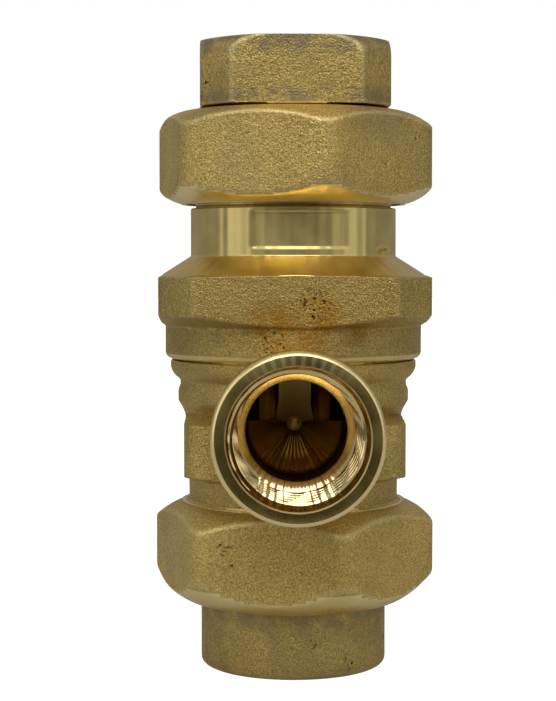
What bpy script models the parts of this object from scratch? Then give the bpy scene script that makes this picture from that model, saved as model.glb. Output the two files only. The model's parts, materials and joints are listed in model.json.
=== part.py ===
"""Dual check valve with an intermediate atmospheric vent and union ends.

Flow runs down the valve's axis, from the inlet union at the top to the outlet union at the bottom.
A diaphragm and a sleeve-shaped piston carry the primary check in the upper body. With no supply
pressure the piston stands up and the space between the two checks drains through the vent boss.
The secondary check sits in the lower neck.

Lengths are in millimetres, heights are above the outlet end, and MM turns them into metres.
"""

import math

import bmesh
import bpy
from mathutils import Matrix

MM = 0.001

# Fits
GAP = 0.3                   # between pieces that touch or slide
CHAMFER = 0.8

# Smoothness of round shapes, in sides
SIDES_LARGE = 32
SIDES_SMALL = 24
SIDES_TINY = 10

# Union nuts: hexagons whose corners are rounded and turned back at both ends
NUT_FLATS = 44.0
NUT_CORNER_RADIUS = 5.3
INLET_NUT_TURN = 11.8       # degrees from the vent's direction to a corner
OUTLET_NUT_TURN = 18.3
TURNED_CORNER = ((19.6, 0), (21.6, 0.5), (23.1, 1.3), (24.7, 2.6))     # radius, distance from the end
UNION_THREAD_R = 18.5
NUT_BORE_R = UNION_THREAD_R + GAP
UNION_FLANGE_R = 18.2

# Outlet union
OUTLET_BARREL_R = 16.15
OUTLET_NUT_BOTTOM = 11.4
OUTLET_NUT_TOP = 28.9
OUTLET_FLANGE_TOP = 17.9
FLANGE_THICKNESS = 3.0
OUTLET_GASKET_TOP = 19.9
NECK_END = 20.2
NECK_R = 18.05
SOCKET_MOUTH_R = 13.5       # 3/4 inch taper pipe thread, at its mouth
SOCKET_END_R = 12.6         # and at its inner end
SOCKET_DEPTH = 14.0

# Body
BOX_HALF_WIDTH = 19.0
BOX_BOTTOM = 34.2
BOX_TOP = 44.1
BOX_CORNER = 5.0
BODY_WAIST_R = 19.5
BODY_WAIST = 49.3
BULGE_R = 20.0
BULGE = 47.6
RIM_R = 21.4
RIM_BOTTOM = 51.9
RIM_TOP = 53.4
SPIGOT_R = 19.5
SPIGOT_TOP = 63.0
SPIGOT_GROOVE_BOTTOM = 56.0     # for the bonnet's O-ring
SPIGOT_GROOVE_TOP = 57.8
SPIGOT_GROOVE_DEPTH = 1.5
FLOW_BORE_R = 7.0
LOWER_CHAMBER_R = 14.2
LOWER_CHAMBER_TOP = 33.0
LOWER_GROOVE_BOTTOM = 20.9      # for the snap ring under the secondary check
LOWER_GROOVE_TOP = 22.3
LOWER_GROOVE_DEPTH = 0.9
TUBE_R = 10.3               # inner tube that carries the vent seat
TUBE_TOP = 52.0
GALLERY_R = 14.6            # ring-shaped space round the inner tube
GALLERY_FLOOR = 43.7
GALLERY_TOP = 53.5
UPPER_CHAMBER_R = 16.3
DIAPHRAGM_CHAMBER_R = 17.0
DIAPHRAGM_CHAMBER_FLOOR = 60.0
RIB_WIDTH = 5.4
BOX_RELIEF = 0.2                # the turned middle stands this far inside the box's flats

# Vent boss, square to the flow axis
VENT_HEIGHT = 43.05
VENT_REACH = 39.4
BOSS_R = 13.65
BOSS_NECK_R = 10.2
BOSS_NECK_REACH = 23.6
BOSS_BARREL_REACH = 33.0
PORT_MOUTH_R = 11.5         # 1/2 inch taper pipe thread, at its mouth
PORT_THREAD_R = 10.0
PORT_THREAD_END_R = 9.3
PORT_THREAD_DEPTH = 14.0
PORT_BORE_R = 8.3
PORT_CONE_REACH = 13.9      # where the drilled hole's cone starts and ends,
PORT_TIP_REACH = 8.9        # from the flow axis

# Bonnet
SKIRT_R = 22.3
SKIRT_BOTTOM = 53.7
SKIRT_BORE_R = SPIGOT_R + GAP
WRENCH_HALF_FLATS = 22.75   # square with its corners cut off
WRENCH_HALF_FACE = 16.6
WRENCH_CORNER_R = 28.5
WRENCH_FOOT = 59.4          # underside cone, at the skirt and at the corners
WRENCH_FOOT_CORNER = 62.1
CONE_FOOT = 66.9            # top cone, at the corners and at the band
BAND_BOTTOM = 71.3
BAND_R = 17.85
BAND_TOP = 79.6
BONNET_END = 89.5
BONNET_BORE_R = 12.9
BONNET_SHOULDER = 66.4
BONNET_CHAMBER_R = 15.5
BONNET_CHAMBER_TOP = 69.3

# Inlet union
INLET_NUT_BOTTOM = 80.3
INLET_NUT_TOP = 96.25
INLET_TAIL_BOTTOM = 91.5
INLET_TAIL_TOP = 108.0
INLET_TAIL_FOOT = 96.7
INLET_BARREL_R = 16.2
INLET_HALF_FLATS = 16.1
INLET_HALF_FACE = 11.1
INLET_CORNER_R = 19.4
INLET_TAIL_TURN = -2.5
SNAP_RING_BOTTOM = 92.6
SNAP_RING_THICKNESS = 0.8
SNAP_RING_DEPTH = 0.7

# Vent piston and diaphragm, at rest with the vent open
VENT_TRAVEL = 2.0
VENT_SEAT_TOP = TUBE_TOP + GAP + 1.0
VENT_SEAL_BOTTOM = VENT_SEAT_TOP + VENT_TRAVEL + GAP
PISTON_BOTTOM = VENT_SEAL_BOTTOM + 1.5
PISTON_FLOOR = PISTON_BOTTOM + 1.4
PISTON_R = 11.2
PISTON_BORE_R = 10.0
PISTON_PORT_R = 6.8
PISTON_FLANGE_R = 14.0
PISTON_FLANGE_TOP = 64.9
PISTON_TOP = 69.7
DIAPHRAGM_THICKNESS = 1.0
DIAPHRAGM_RIM_BOTTOM = 63.3
DIAPHRAGM_RIM_TOP = 64.8
DIAPHRAGM_RIM_R = 19.2

# Checks
PRIMARY_SEAT_BORE_R = 5.8
SEAT_LIP_HEIGHT = 0.7
DISC_THICKNESS = 1.8
DISC_OVERLAP = 1.8          # the disc is this much larger than the bore it shuts
PLATE_THICKNESS = 1.8
PLATE_OVERHANG = 0.2
PRIMARY_STEM_R = 1.7
PRIMARY_STEM_BOTTOM = 55.6
SECONDARY_STEM_R = 1.9
SECONDARY_STEM_BOTTOM = 15.0
HOLDER_HUB_R = 3.0
SCREW_HEAD_R = 2.8
SCREW_SHANK_R = 1.1
CAGE_BOTTOM = 16.9
CAGE_STEP = 22.4            # where the cage narrows to enter the outlet tailpiece
CAGE_SPIDER_TOP = 18.6
CAGE_BORE_R = 11.2
CAGE_WALL = 1.4
SPOKE_WIDTH = 1.8

# Strainer
STRAINER_TOP = 88.5
STRAINER_BOTTOM = 76.5
STRAINER_R = 11.8
STRAINER_FOOT_R = 9.6

# The flow axis stands behind the middle of the outline, because the vent boss reaches forward
NUT_CORNER_CENTRE = (NUT_FLATS / 2 - NUT_CORNER_RADIUS) / math.cos(math.radians(30))
NUT_BACK_REACH = NUT_CORNER_CENTRE * math.cos(math.radians(INLET_NUT_TURN)) + NUT_CORNER_RADIUS
FLOW_AXIS_Y = (VENT_REACH - NUT_BACK_REACH) / 2

FINISHES = {
    "cast_brass": ((0.50, 0.36, 0.13), 0.55, 1.0),
    "machined_brass": ((0.80, 0.62, 0.28), 0.25, 1.0),
    "stainless": ((0.60, 0.60, 0.58), 0.30, 1.0),
    "rubber": ((0.03, 0.03, 0.03), 0.80, 0.0),
    "gasket": ((0.16, 0.10, 0.07), 0.85, 0.0),
    "acetal": ((0.75, 0.74, 0.70), 0.45, 0.0),
}


# Scene

def clear_scene():
    for obj in list(bpy.data.objects):
        bpy.data.objects.remove(obj, do_unlink=True)


def new_collection(name):
    collection = bpy.data.collections.new(name)
    bpy.context.scene.collection.children.link(collection)
    return collection


clear_scene()
PARTS = new_collection("check_valve")
CUTTERS = new_collection("cutters")

FLOW_AXIS = bpy.data.objects.new("flow_axis", None)
FLOW_AXIS.location = (0, FLOW_AXIS_Y * MM, 0)
PARTS.objects.link(FLOW_AXIS)


# Shapes

def add_object(name, mesh):
    """A shape starts among the cutters, and finish() moves it to the parts."""
    obj = bpy.data.objects.new(name, mesh)
    obj.parent = FLOW_AXIS
    obj.hide_render = True
    obj.display_type = "WIRE"
    CUTTERS.objects.link(obj)
    return obj


def turned(name, profile, sides):
    """Turns (radius, height) points about the axis. They run down the outer side.

    A profile that starts and ends on the axis is a solid, and any other is a closed ring.
    """
    mesh = bpy.data.meshes.new(name)
    points = [(radius * MM, 0, height * MM) for radius, height in profile]
    edges = [(i, i + 1) for i in range(len(points) - 1)]
    if profile[0][0] > 0:
        edges.append((len(points) - 1, 0))
    mesh.from_pydata(points, edges, [])
    obj = add_object(name, mesh)
    screw = obj.modifiers.new("turn", "SCREW")
    screw.axis = "Z"
    screw.angle = math.tau
    screw.steps = sides
    screw.render_steps = sides
    screw.use_merge_vertices = True
    screw.merge_threshold = 0.00001
    return obj


def ring(name, inner, outer, bottom, top, sides=SIDES_SMALL):
    profile = [(outer, top), (outer, bottom), (inner, bottom), (inner, top)]
    return turned(name, profile, sides)


def block(name, half_x, half_y, bottom, top):
    mesh = bpy.data.meshes.new(name)
    shape = bmesh.new()
    bmesh.ops.create_cube(shape, size=1)
    size = Matrix.Diagonal((2 * half_x * MM, 2 * half_y * MM, (top - bottom) * MM, 1))
    middle = Matrix.Translation((0, 0, (top + bottom) / 2 * MM))
    bmesh.ops.transform(shape, matrix=middle @ size, verts=shape.verts)
    shape.to_mesh(mesh)
    shape.free()
    return add_object(name, mesh)


def bevel_upright_edges(obj, width, segments):
    shape = bmesh.new()
    shape.from_mesh(obj.data)
    upright = [e for e in shape.edges if abs(e.verts[0].co.z - e.verts[1].co.z) > MM]
    bmesh.ops.bevel(
        shape, geom=upright, offset=width * MM, segments=segments, profile=0.5, affect="EDGES"
    )
    shape.to_mesh(obj.data)
    shape.free()


def cut_square(name, half_flats, half_face, bottom, top):
    """A square prism with its corners cut off, as a wrench section has."""
    prism = block(name, half_flats, half_flats, bottom, top)
    bevel_upright_edges(prism, half_flats - half_face, 1)
    return prism


def hexagon(name, flats, corner_radius, bottom, top, turn):
    """A hexagonal prism with rounded corners, one of them `turn` degrees from the vent."""
    mesh = bpy.data.meshes.new(name)
    shape = bmesh.new()
    corner = flats / 2 / math.cos(math.radians(30)) * MM
    bmesh.ops.create_cone(
        shape, cap_ends=True, segments=6, radius1=corner, radius2=corner, depth=(top - bottom) * MM
    )
    bmesh.ops.translate(shape, vec=(0, 0, (top + bottom) / 2 * MM), verts=shape.verts)
    shape.to_mesh(mesh)
    shape.free()
    obj = add_object(name, mesh)
    bevel_upright_edges(obj, corner_radius * math.tan(math.radians(30)), 3)
    obj.rotation_euler.z = math.radians(turn)
    return obj


def coil(name, radius, wire_radius, bottom, top, turns):
    """A compression spring whose end turns lie flat."""
    points_per_turn = 10
    count = int(points_per_turn * turns)
    low = bottom + wire_radius
    rise = top - bottom - 2 * wire_radius
    flat_turns = 0.5
    curve = bpy.data.curves.new(name, "CURVE")
    curve.dimensions = "3D"
    spline = curve.splines.new("POLY")
    spline.points.add(count)
    for i in range(count + 1):
        angle = math.tau * i / points_per_turn
        share = (i / points_per_turn - flat_turns) / (turns - 2 * flat_turns)
        height = low + rise * min(max(share, 0), 1)
        x = radius * math.cos(angle)
        y = radius * math.sin(angle)
        spline.points[i].co = (x * MM, y * MM, height * MM, 1)
    curve.bevel_depth = wire_radius * MM
    curve.bevel_resolution = 1
    curve.use_fill_caps = True
    return add_object(name, curve)


def combine(target, tool, operation):
    boolean = target.modifiers.new(operation.lower(), "BOOLEAN")
    boolean.object = tool
    boolean.operation = operation
    boolean.solver = "EXACT"


def cut(target, tool):
    combine(target, tool, "DIFFERENCE")


def join(target, tool):
    combine(target, tool, "UNION")


def keep_common(target, tool):
    combine(target, tool, "INTERSECT")


# Materials

def finish_material(name, finish):
    colour, roughness, metallic = FINISHES[finish]
    material = bpy.data.materials.new(name)
    material.use_nodes = True
    shader = material.node_tree.nodes["Principled BSDF"]
    shader.inputs["Base Color"].default_value = (*colour, 1)
    shader.inputs["Roughness"].default_value = roughness
    shader.inputs["Metallic"].default_value = metallic
    return material


def finish(obj, finish_name):
    """Settles the modifiers into the mesh, smooths round faces and moves the piece to the parts."""
    bpy.context.view_layer.update()
    evaluated = obj.evaluated_get(bpy.context.evaluated_depsgraph_get())
    mesh = bpy.data.meshes.new_from_object(evaluated)
    mesh.name = obj.name
    if obj.type == "CURVE":
        shape = bmesh.new()
        shape.from_mesh(mesh)
        bmesh.ops.remove_doubles(shape, verts=shape.verts, dist=0.000001)
        shape.to_mesh(mesh)
        shape.free()
        name = obj.name
        bpy.data.objects.remove(obj, do_unlink=True)
        obj = add_object(name, mesh)
    obj.modifiers.clear()
    obj.data = mesh
    mesh.shade_smooth()
    mesh.set_sharp_from_angle(angle=math.radians(35))
    mesh.materials.clear()
    mesh.materials.append(finish_material(obj.name, finish_name))
    obj.hide_render = False
    obj.display_type = "TEXTURED"
    CUTTERS.objects.unlink(obj)
    PARTS.objects.link(obj)
    return obj


# Union ends

def union_nut(name, bottom, top, shoulder, shoulder_bore, turn, low_stretch):
    """Hexagon nut with its corners turned back at both ends.

    A shoulder inside one end grips the tailpiece: it runs from `shoulder` to the nearer end.
    """
    outside = [(radius, top - drop) for radius, drop in TURNED_CORNER]
    outside += [(radius, bottom + low_stretch * rise) for radius, rise in reversed(TURNED_CORNER)]
    shoulder_is_low = shoulder - bottom < top - shoulder
    low_bore = shoulder_bore if shoulder_is_low else NUT_BORE_R
    high_bore = NUT_BORE_R if shoulder_is_low else shoulder_bore
    inside = [(low_bore, bottom), (low_bore, shoulder), (high_bore, shoulder), (high_bore, top)]
    nut = turned(name, outside + inside, SIDES_LARGE)
    keep_common(nut, hexagon(name + "_flats", NUT_FLATS, NUT_CORNER_RADIUS, bottom - 1, top + 1, turn))
    return finish(nut, "cast_brass")


def socket_profile(mouth, inner_end, depth_sign):
    """The inside of a tailpiece: a tapered thread from the mouth, then a plain bore."""
    thread_end = mouth + depth_sign * SOCKET_DEPTH
    return [
        (SOCKET_MOUTH_R, mouth), (SOCKET_MOUTH_R - 0.4, mouth + depth_sign * CHAMFER),
        (SOCKET_END_R, thread_end), (SOCKET_END_R, inner_end),
    ]


def outlet_tailpiece():
    flange_bottom = OUTLET_FLANGE_TOP - FLANGE_THICKNESS
    outside = [
        (UNION_FLANGE_R - 0.3, OUTLET_FLANGE_TOP), (UNION_FLANGE_R - 0.3, flange_bottom),
        (OUTLET_BARREL_R, flange_bottom), (OUTLET_BARREL_R, 1.1), (OUTLET_BARREL_R - 0.4, 0.3),
        (OUTLET_BARREL_R - 1.4, 0),
    ]
    inside = socket_profile(0, OUTLET_FLANGE_TOP, 1)
    return finish(turned("outlet_tailpiece", outside + inside, SIDES_LARGE), "cast_brass")


def inlet_tailpiece():
    """Round barrel inside the nut with a groove for the snap ring, and a wrench section above it."""
    groove_r = INLET_BARREL_R - SNAP_RING_DEPTH - GAP
    groove_bottom = SNAP_RING_BOTTOM - GAP
    groove_top = SNAP_RING_BOTTOM + SNAP_RING_THICKNESS + GAP
    flats = cut_square(
        "inlet_flats", INLET_HALF_FLATS, INLET_HALF_FACE, INLET_TAIL_FOOT, INLET_TAIL_TOP + 1
    )
    flats.rotation_euler.z = math.radians(INLET_TAIL_TURN)
    envelope = turned("inlet_flats_envelope", [
        (0, INLET_TAIL_TOP), (16.4, INLET_TAIL_TOP), (17.3, INLET_TAIL_TOP - 0.4),
        (INLET_CORNER_R, INLET_TAIL_TOP - 2.2), (INLET_CORNER_R, INLET_TAIL_FOOT - 1),
        (0, INLET_TAIL_FOOT - 1),
    ], SIDES_LARGE)
    keep_common(flats, envelope)
    barrel = turned("inlet_tailpiece", [
        (0, INLET_TAIL_TOP - 3), (14.5, INLET_TAIL_TOP - 3), (14.5, INLET_TAIL_FOOT + 1),
        (INLET_BARREL_R, INLET_TAIL_FOOT + 0.6), (INLET_BARREL_R, groove_top),
        (groove_r, groove_top), (groove_r, groove_bottom), (INLET_BARREL_R, groove_bottom),
        (INLET_BARREL_R, INLET_TAIL_BOTTOM), (0, INLET_TAIL_BOTTOM),
    ], SIDES_LARGE)
    join(barrel, flats)
    socket = socket_profile(INLET_TAIL_TOP, INLET_TAIL_BOTTOM - 1, -1)
    mouth_radius = socket[0][0]
    bore = turned(
        "inlet_socket",
        [(0, INLET_TAIL_TOP + 1), (mouth_radius, INLET_TAIL_TOP + 1)] + socket + [(0, socket[-1][1])],
        SIDES_LARGE,
    )
    cut(barrel, bore)
    return finish(barrel, "cast_brass")


def split_ring(name, inner, outer, bottom, top, opening):
    """A snap ring: a flat ring with a piece left out of it."""
    clip = ring(name, inner, outer, bottom, top)
    notch = block(name + "_opening", opening / 2, (outer - inner) / 2 + 2, bottom - 1, top + 1)
    notch.location.y = (inner + outer) / 2 * MM
    cut(clip, notch)
    return finish(clip, "stainless")


# Body and bonnet

def body_outside():
    groove_r = SPIGOT_R - SPIGOT_GROOVE_DEPTH
    middle_r = BOX_HALF_WIDTH - BOX_RELIEF
    body = turned("body", [
        (0, SPIGOT_TOP), (SPIGOT_R - CHAMFER, SPIGOT_TOP), (SPIGOT_R, SPIGOT_TOP - CHAMFER),
        (SPIGOT_R, SPIGOT_GROOVE_TOP), (groove_r, SPIGOT_GROOVE_TOP),
        (groove_r, SPIGOT_GROOVE_BOTTOM), (SPIGOT_R, SPIGOT_GROOVE_BOTTOM),
        (SPIGOT_R, RIM_TOP), (RIM_R, RIM_TOP), (RIM_R - 0.1, RIM_BOTTOM),
        (RIM_R - 0.6, RIM_BOTTOM - 0.8), (BODY_WAIST_R + 0.4, BODY_WAIST + 0.8),
        (BODY_WAIST_R, BODY_WAIST), (BULGE_R, BULGE + 0.6), (BULGE_R, BULGE - 0.6),
        (BOX_HALF_WIDTH + 0.3, BOX_TOP + 0.8), (middle_r, BOX_TOP - 0.6),
        (middle_r, BOX_BOTTOM + 1.2), (NECK_R, BOX_BOTTOM - 0.6),
        (NECK_R, OUTLET_NUT_TOP + 0.4), (UNION_THREAD_R, OUTLET_NUT_TOP),
        (UNION_THREAD_R, NECK_END + CHAMFER), (UNION_THREAD_R - CHAMFER, NECK_END), (0, NECK_END),
    ], SIDES_LARGE)
    box = block("body_box", BOX_HALF_WIDTH, BOX_HALF_WIDTH, BOX_BOTTOM, BOX_TOP)
    bevel_upright_edges(box, BOX_CORNER, 3)
    join(body, box)
    join(body, vent_boss())
    return body


def face_vent(obj):
    """Turns a shape made about +Z so that its axis is the vent's, which points to -Y."""
    obj.rotation_euler.x = math.radians(90)
    obj.location.z = VENT_HEIGHT * MM
    return obj


def vent_boss():
    profile = [
        (0, VENT_REACH), (BOSS_R - 0.6, VENT_REACH), (BOSS_R, VENT_REACH - 0.6),
        (BOSS_R, BOSS_BARREL_REACH), (BOSS_NECK_R, BOSS_NECK_REACH), (BOSS_NECK_R, 12), (0, 12),
    ]
    return face_vent(turned("vent_boss", profile, SIDES_LARGE))


def vent_bore():
    thread_end = VENT_REACH - PORT_THREAD_DEPTH
    profile = [
        (0, VENT_REACH + 1), (PORT_MOUTH_R, VENT_REACH + 1), (PORT_MOUTH_R, VENT_REACH - 0.3),
        (PORT_THREAD_R, VENT_REACH - 1.5), (PORT_THREAD_END_R, thread_end),
        (PORT_BORE_R, thread_end - 1), (PORT_BORE_R, PORT_CONE_REACH), (0, PORT_TIP_REACH),
    ]
    return face_vent(turned("vent_bore", profile, SIDES_LARGE))


def gallery():
    """The ring-shaped space round the inner tube, left solid at the front rib."""
    space = ring("gallery", TUBE_R, GALLERY_R, GALLERY_FLOOR, GALLERY_TOP + 1, SIDES_LARGE)
    rib = block("gallery_rib", RIB_WIDTH / 2, 5, GALLERY_FLOOR - 1, TUBE_TOP)
    rib.location.y = -GALLERY_R * MM
    cut(space, rib)
    return space


def flow_cavity():
    """Everything turned inside the body, from the spigot's mouth to the neck's end."""
    groove_r = LOWER_CHAMBER_R + LOWER_GROOVE_DEPTH
    return turned("flow_cavity", [
        (0, SPIGOT_TOP + 1), (DIAPHRAGM_CHAMBER_R, SPIGOT_TOP + 1),
        (DIAPHRAGM_CHAMBER_R, DIAPHRAGM_CHAMBER_FLOOR), (UPPER_CHAMBER_R, DIAPHRAGM_CHAMBER_FLOOR - 0.7),
        (UPPER_CHAMBER_R, GALLERY_TOP), (TUBE_R + 0.8, GALLERY_TOP), (TUBE_R + 0.8, TUBE_TOP),
        (FLOW_BORE_R, TUBE_TOP), (FLOW_BORE_R, LOWER_CHAMBER_TOP),
        (LOWER_CHAMBER_R, LOWER_CHAMBER_TOP), (LOWER_CHAMBER_R, LOWER_GROOVE_TOP),
        (groove_r, LOWER_GROOVE_TOP), (groove_r, LOWER_GROOVE_BOTTOM),
        (LOWER_CHAMBER_R, LOWER_GROOVE_BOTTOM), (LOWER_CHAMBER_R, NECK_END - 1), (0, NECK_END - 1),
    ], SIDES_LARGE)


def body():
    casting = body_outside()
    cut(casting, gallery())
    cut(casting, flow_cavity())
    cut(casting, vent_bore())
    return finish(casting, "cast_brass")


def bonnet():
    """Skirt, wrench section, polished cone and band, and the inlet's union thread."""
    casting = turned("bonnet", [
        (0, BONNET_END), (UNION_THREAD_R - CHAMFER, BONNET_END), (UNION_THREAD_R, BONNET_END - CHAMFER),
        (UNION_THREAD_R, BAND_TOP + 0.5), (BAND_R, BAND_TOP), (BAND_R, BAND_BOTTOM - 0.6),
        (SKIRT_R, 65), (SKIRT_R, SKIRT_BOTTOM + 0.8), (SKIRT_R - 0.5, SKIRT_BOTTOM + 0.2),
        (SKIRT_R - 1.0, SKIRT_BOTTOM), (0, SKIRT_BOTTOM),
    ], SIDES_LARGE)
    wrench = cut_square("wrench_section", WRENCH_HALF_FLATS, WRENCH_HALF_FACE, 58, 72)
    slope = (CONE_FOOT - BAND_BOTTOM) / (WRENCH_CORNER_R - BAND_R)
    inner = BAND_R - 2
    envelope = turned("wrench_envelope", [
        (0, BAND_BOTTOM - 2 * slope), (inner, BAND_BOTTOM - 2 * slope), (WRENCH_CORNER_R, CONE_FOOT),
        (WRENCH_CORNER_R, WRENCH_FOOT_CORNER), (SKIRT_R - 0.4, WRENCH_FOOT), (0, WRENCH_FOOT),
    ], SIDES_LARGE)
    keep_common(wrench, envelope)
    join(casting, wrench)
    inside = turned("bonnet_cavity", [
        (0, BONNET_END + 1), (BONNET_BORE_R, BONNET_END + 1), (BONNET_BORE_R, BONNET_CHAMBER_TOP + 1.9),
        (BONNET_CHAMBER_R, BONNET_CHAMBER_TOP), (BONNET_CHAMBER_R, BONNET_SHOULDER),
        (SKIRT_BORE_R, BONNET_SHOULDER), (SKIRT_BORE_R, SKIRT_BOTTOM - 1), (0, SKIRT_BOTTOM - 1),
    ], SIDES_LARGE)
    cut(casting, inside)
    return finish(casting, "cast_brass")


# Seals, strainer and fixed internals

def o_ring(name, radius, height, thickness):
    """A rubber ring of round section, turned from an eight-sided circle."""
    sides = 8
    section = []
    for i in range(sides):
        angle = math.pi / 2 - math.tau * (i + 0.5) / sides
        across = radius + thickness / 2 * math.cos(angle)
        section.append((across, height + thickness / 2 * math.sin(angle)))
    return finish(turned(name, section, SIDES_SMALL), "rubber")


def washer(name, inner, outer, bottom, top, finish_name):
    return finish(ring(name, inner, outer, bottom, top), finish_name)


def strainer():
    """A perforated cup that hangs in the bonnet's bore by its rim."""
    wall = 0.7
    rim_r = BONNET_BORE_R - GAP
    rim_bottom = STRAINER_TOP - 1.2
    cup = turned("strainer", [
        (0, STRAINER_BOTTOM + wall), (STRAINER_FOOT_R - wall, STRAINER_BOTTOM + wall),
        (STRAINER_R - wall, STRAINER_TOP), (rim_r, STRAINER_TOP), (rim_r, rim_bottom),
        (STRAINER_R, rim_bottom), (STRAINER_FOOT_R, STRAINER_BOTTOM), (0, STRAINER_BOTTOM),
    ], SIDES_SMALL)
    columns = 4
    for row, height in enumerate((STRAINER_BOTTOM + 2.6, STRAINER_BOTTOM + 6.2)):
        for column in range(columns):
            slot = block(f"strainer_slot_{row}_{column}", 1.3, STRAINER_R + 2, height - 1.1, height + 1.1)
            slot.rotation_euler.z = math.pi * (column + 0.5 * row) / columns
            cut(cup, slot)
    return finish(cup, "stainless")


def diaphragm():
    """A rubber disc clamped at its rim, domed up to the piston's flange, with a hole in the middle."""
    half = DIAPHRAGM_THICKNESS / 2
    middle_bottom = PISTON_FLANGE_TOP + GAP
    middle_top = middle_bottom + DIAPHRAGM_THICKNESS
    rim_middle = (DIAPHRAGM_RIM_BOTTOM + DIAPHRAGM_RIM_TOP) / 2
    return finish(turned("diaphragm", [
        (DIAPHRAGM_RIM_R, DIAPHRAGM_RIM_TOP), (DIAPHRAGM_RIM_R, DIAPHRAGM_RIM_BOTTOM),
        (DIAPHRAGM_CHAMBER_R + 0.2, DIAPHRAGM_RIM_BOTTOM), (DIAPHRAGM_CHAMBER_R - 0.2, rim_middle - half),
        (PISTON_FLANGE_R + 0.4, middle_bottom), (PISTON_R + GAP, middle_bottom),
        (PISTON_R + GAP, middle_top), (PISTON_FLANGE_R + 0.2, middle_top),
        (DIAPHRAGM_CHAMBER_R - 0.4, rim_middle + half), (DIAPHRAGM_CHAMBER_R, DIAPHRAGM_RIM_TOP),
    ], SIDES_LARGE), "rubber")


# Vent piston

def spider(name, outer, inner, bottom, top, hub_outer, hub_bore, hub_bottom):
    """A ring and a hub joined by three spokes, to guide a stem in the middle of the flow."""
    spokes = 3
    frame = ring(name, inner, outer, bottom, top)
    for i in range(spokes):
        spoke = block(f"{name}_spoke_{i}", SPOKE_WIDTH / 2, inner / 2 + 0.2, bottom + 0.1, top - 0.1)
        angle = math.tau * i / spokes
        spoke.rotation_euler.z = angle
        spoke.location.x = -math.sin(angle) * inner / 2 * MM
        spoke.location.y = math.cos(angle) * inner / 2 * MM
        join(frame, spoke)
    hub = turned(
        name + "_hub", [(0, top), (hub_outer, top), (hub_outer, hub_bottom), (0, hub_bottom)], SIDES_TINY
    )
    join(frame, hub)
    hole_bottom = hub_bottom - 1
    hole = turned(
        name + "_hole", [(0, top + 1), (hub_bore, top + 1), (hub_bore, hole_bottom), (0, hole_bottom)],
        SIDES_TINY,
    )
    cut(frame, hole)
    return frame


def vent_piston():
    """A sleeve that carries the primary check, with a flange under the diaphragm."""
    flange_bottom = PISTON_FLANGE_TOP - 1
    return finish(turned("vent_piston", [
        (PISTON_R, PISTON_TOP), (PISTON_R, PISTON_FLANGE_TOP), (PISTON_FLANGE_R, PISTON_FLANGE_TOP),
        (PISTON_FLANGE_R, flange_bottom), (PISTON_R, flange_bottom), (PISTON_R, PISTON_BOTTOM),
        (PISTON_PORT_R, PISTON_BOTTOM), (PISTON_PORT_R, PISTON_FLOOR), (PISTON_BORE_R, PISTON_FLOOR),
        (PISTON_BORE_R, PISTON_TOP),
    ], SIDES_SMALL), "machined_brass")


def vent_group():
    clamp_bottom = PISTON_FLANGE_TOP + DIAPHRAGM_THICKNESS + 2 * GAP
    vent_piston()
    washer("diaphragm_clamp", PISTON_R + GAP, PISTON_FLANGE_R, clamp_bottom, clamp_bottom + 1.4,
           "machined_brass")
    washer("vent_seal", PISTON_PORT_R + 0.8, TUBE_R, VENT_SEAL_BOTTOM, PISTON_BOTTOM - GAP, "rubber")
    washer("vent_seat", FLOW_BORE_R + GAP, TUBE_R - GAP, TUBE_TOP + GAP, VENT_SEAT_TOP, "stainless")
    spring_washer_top = GALLERY_TOP + GAP + 0.8
    washer("spring_washer", PISTON_R + 0.7, UPPER_CHAMBER_R - GAP, GALLERY_TOP + GAP, spring_washer_top,
           "stainless")
    finish(coil("vent_spring", 13.2, 0.4, spring_washer_top + GAP, PISTON_FLANGE_TOP - 1 - GAP, 4),
           "stainless")


# Checks

def check_seat(name, outer, bore, bottom, top, lip_bottom, groove_height):
    """A ring whose raised lip faces down to the rubber disc, with an O-ring groove where asked."""
    lip_width = 1.0
    outside = [(outer, top)]
    if groove_height:
        groove_r = outer - 1.7
        outside += [
            (outer, groove_height + 1), (groove_r, groove_height + 1), (groove_r, groove_height - 1),
            (outer, groove_height - 1),
        ]
    outside += [(outer, bottom), (bore + lip_width, bottom), (bore + lip_width, lip_bottom)]
    seat = turned(name, outside + [(bore, lip_bottom), (bore, top)], SIDES_SMALL)
    return finish(seat, "machined_brass")


def poppet(prefix, seat_bore, lip_bottom, stem_bottom, stem_r):
    """The moving group of one check: rubber disc, holder with a stem, and the screw between them.

    Returns the holder plate's underside, where the spring pushes.
    """
    disc_r = seat_bore + DISC_OVERLAP
    plate_r = disc_r + PLATE_OVERHANG
    disc_top = lip_bottom - GAP
    disc_bottom = disc_top - DISC_THICKNESS
    plate_top = disc_bottom - GAP
    plate_bottom = plate_top - PLATE_THICKNESS
    hub_bottom = plate_bottom - 1.2
    hole_bottom = hub_bottom + 0.5
    hole_r = SCREW_SHANK_R + GAP
    washer(prefix + "_disc", hole_r, disc_r, disc_bottom, disc_top, "rubber")
    finish(turned(prefix + "_disc_holder", [
        (0, hole_bottom), (hole_r, hole_bottom), (hole_r, plate_top), (plate_r, plate_top),
        (plate_r, plate_bottom), (HOLDER_HUB_R, plate_bottom), (HOLDER_HUB_R, hub_bottom),
        (stem_r, hub_bottom), (stem_r, stem_bottom), (0, stem_bottom),
    ], SIDES_SMALL), "acetal")
    head_bottom = disc_top + GAP
    finish(turned(prefix + "_screw", [
        (0, head_bottom + 1.4), (2.0, head_bottom + 1.4), (SCREW_HEAD_R, head_bottom + 0.6),
        (SCREW_HEAD_R, head_bottom), (SCREW_SHANK_R, head_bottom), (SCREW_SHANK_R, hole_bottom + GAP),
        (0, hole_bottom + GAP),
    ], SIDES_TINY), "stainless")
    return plate_bottom


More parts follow.
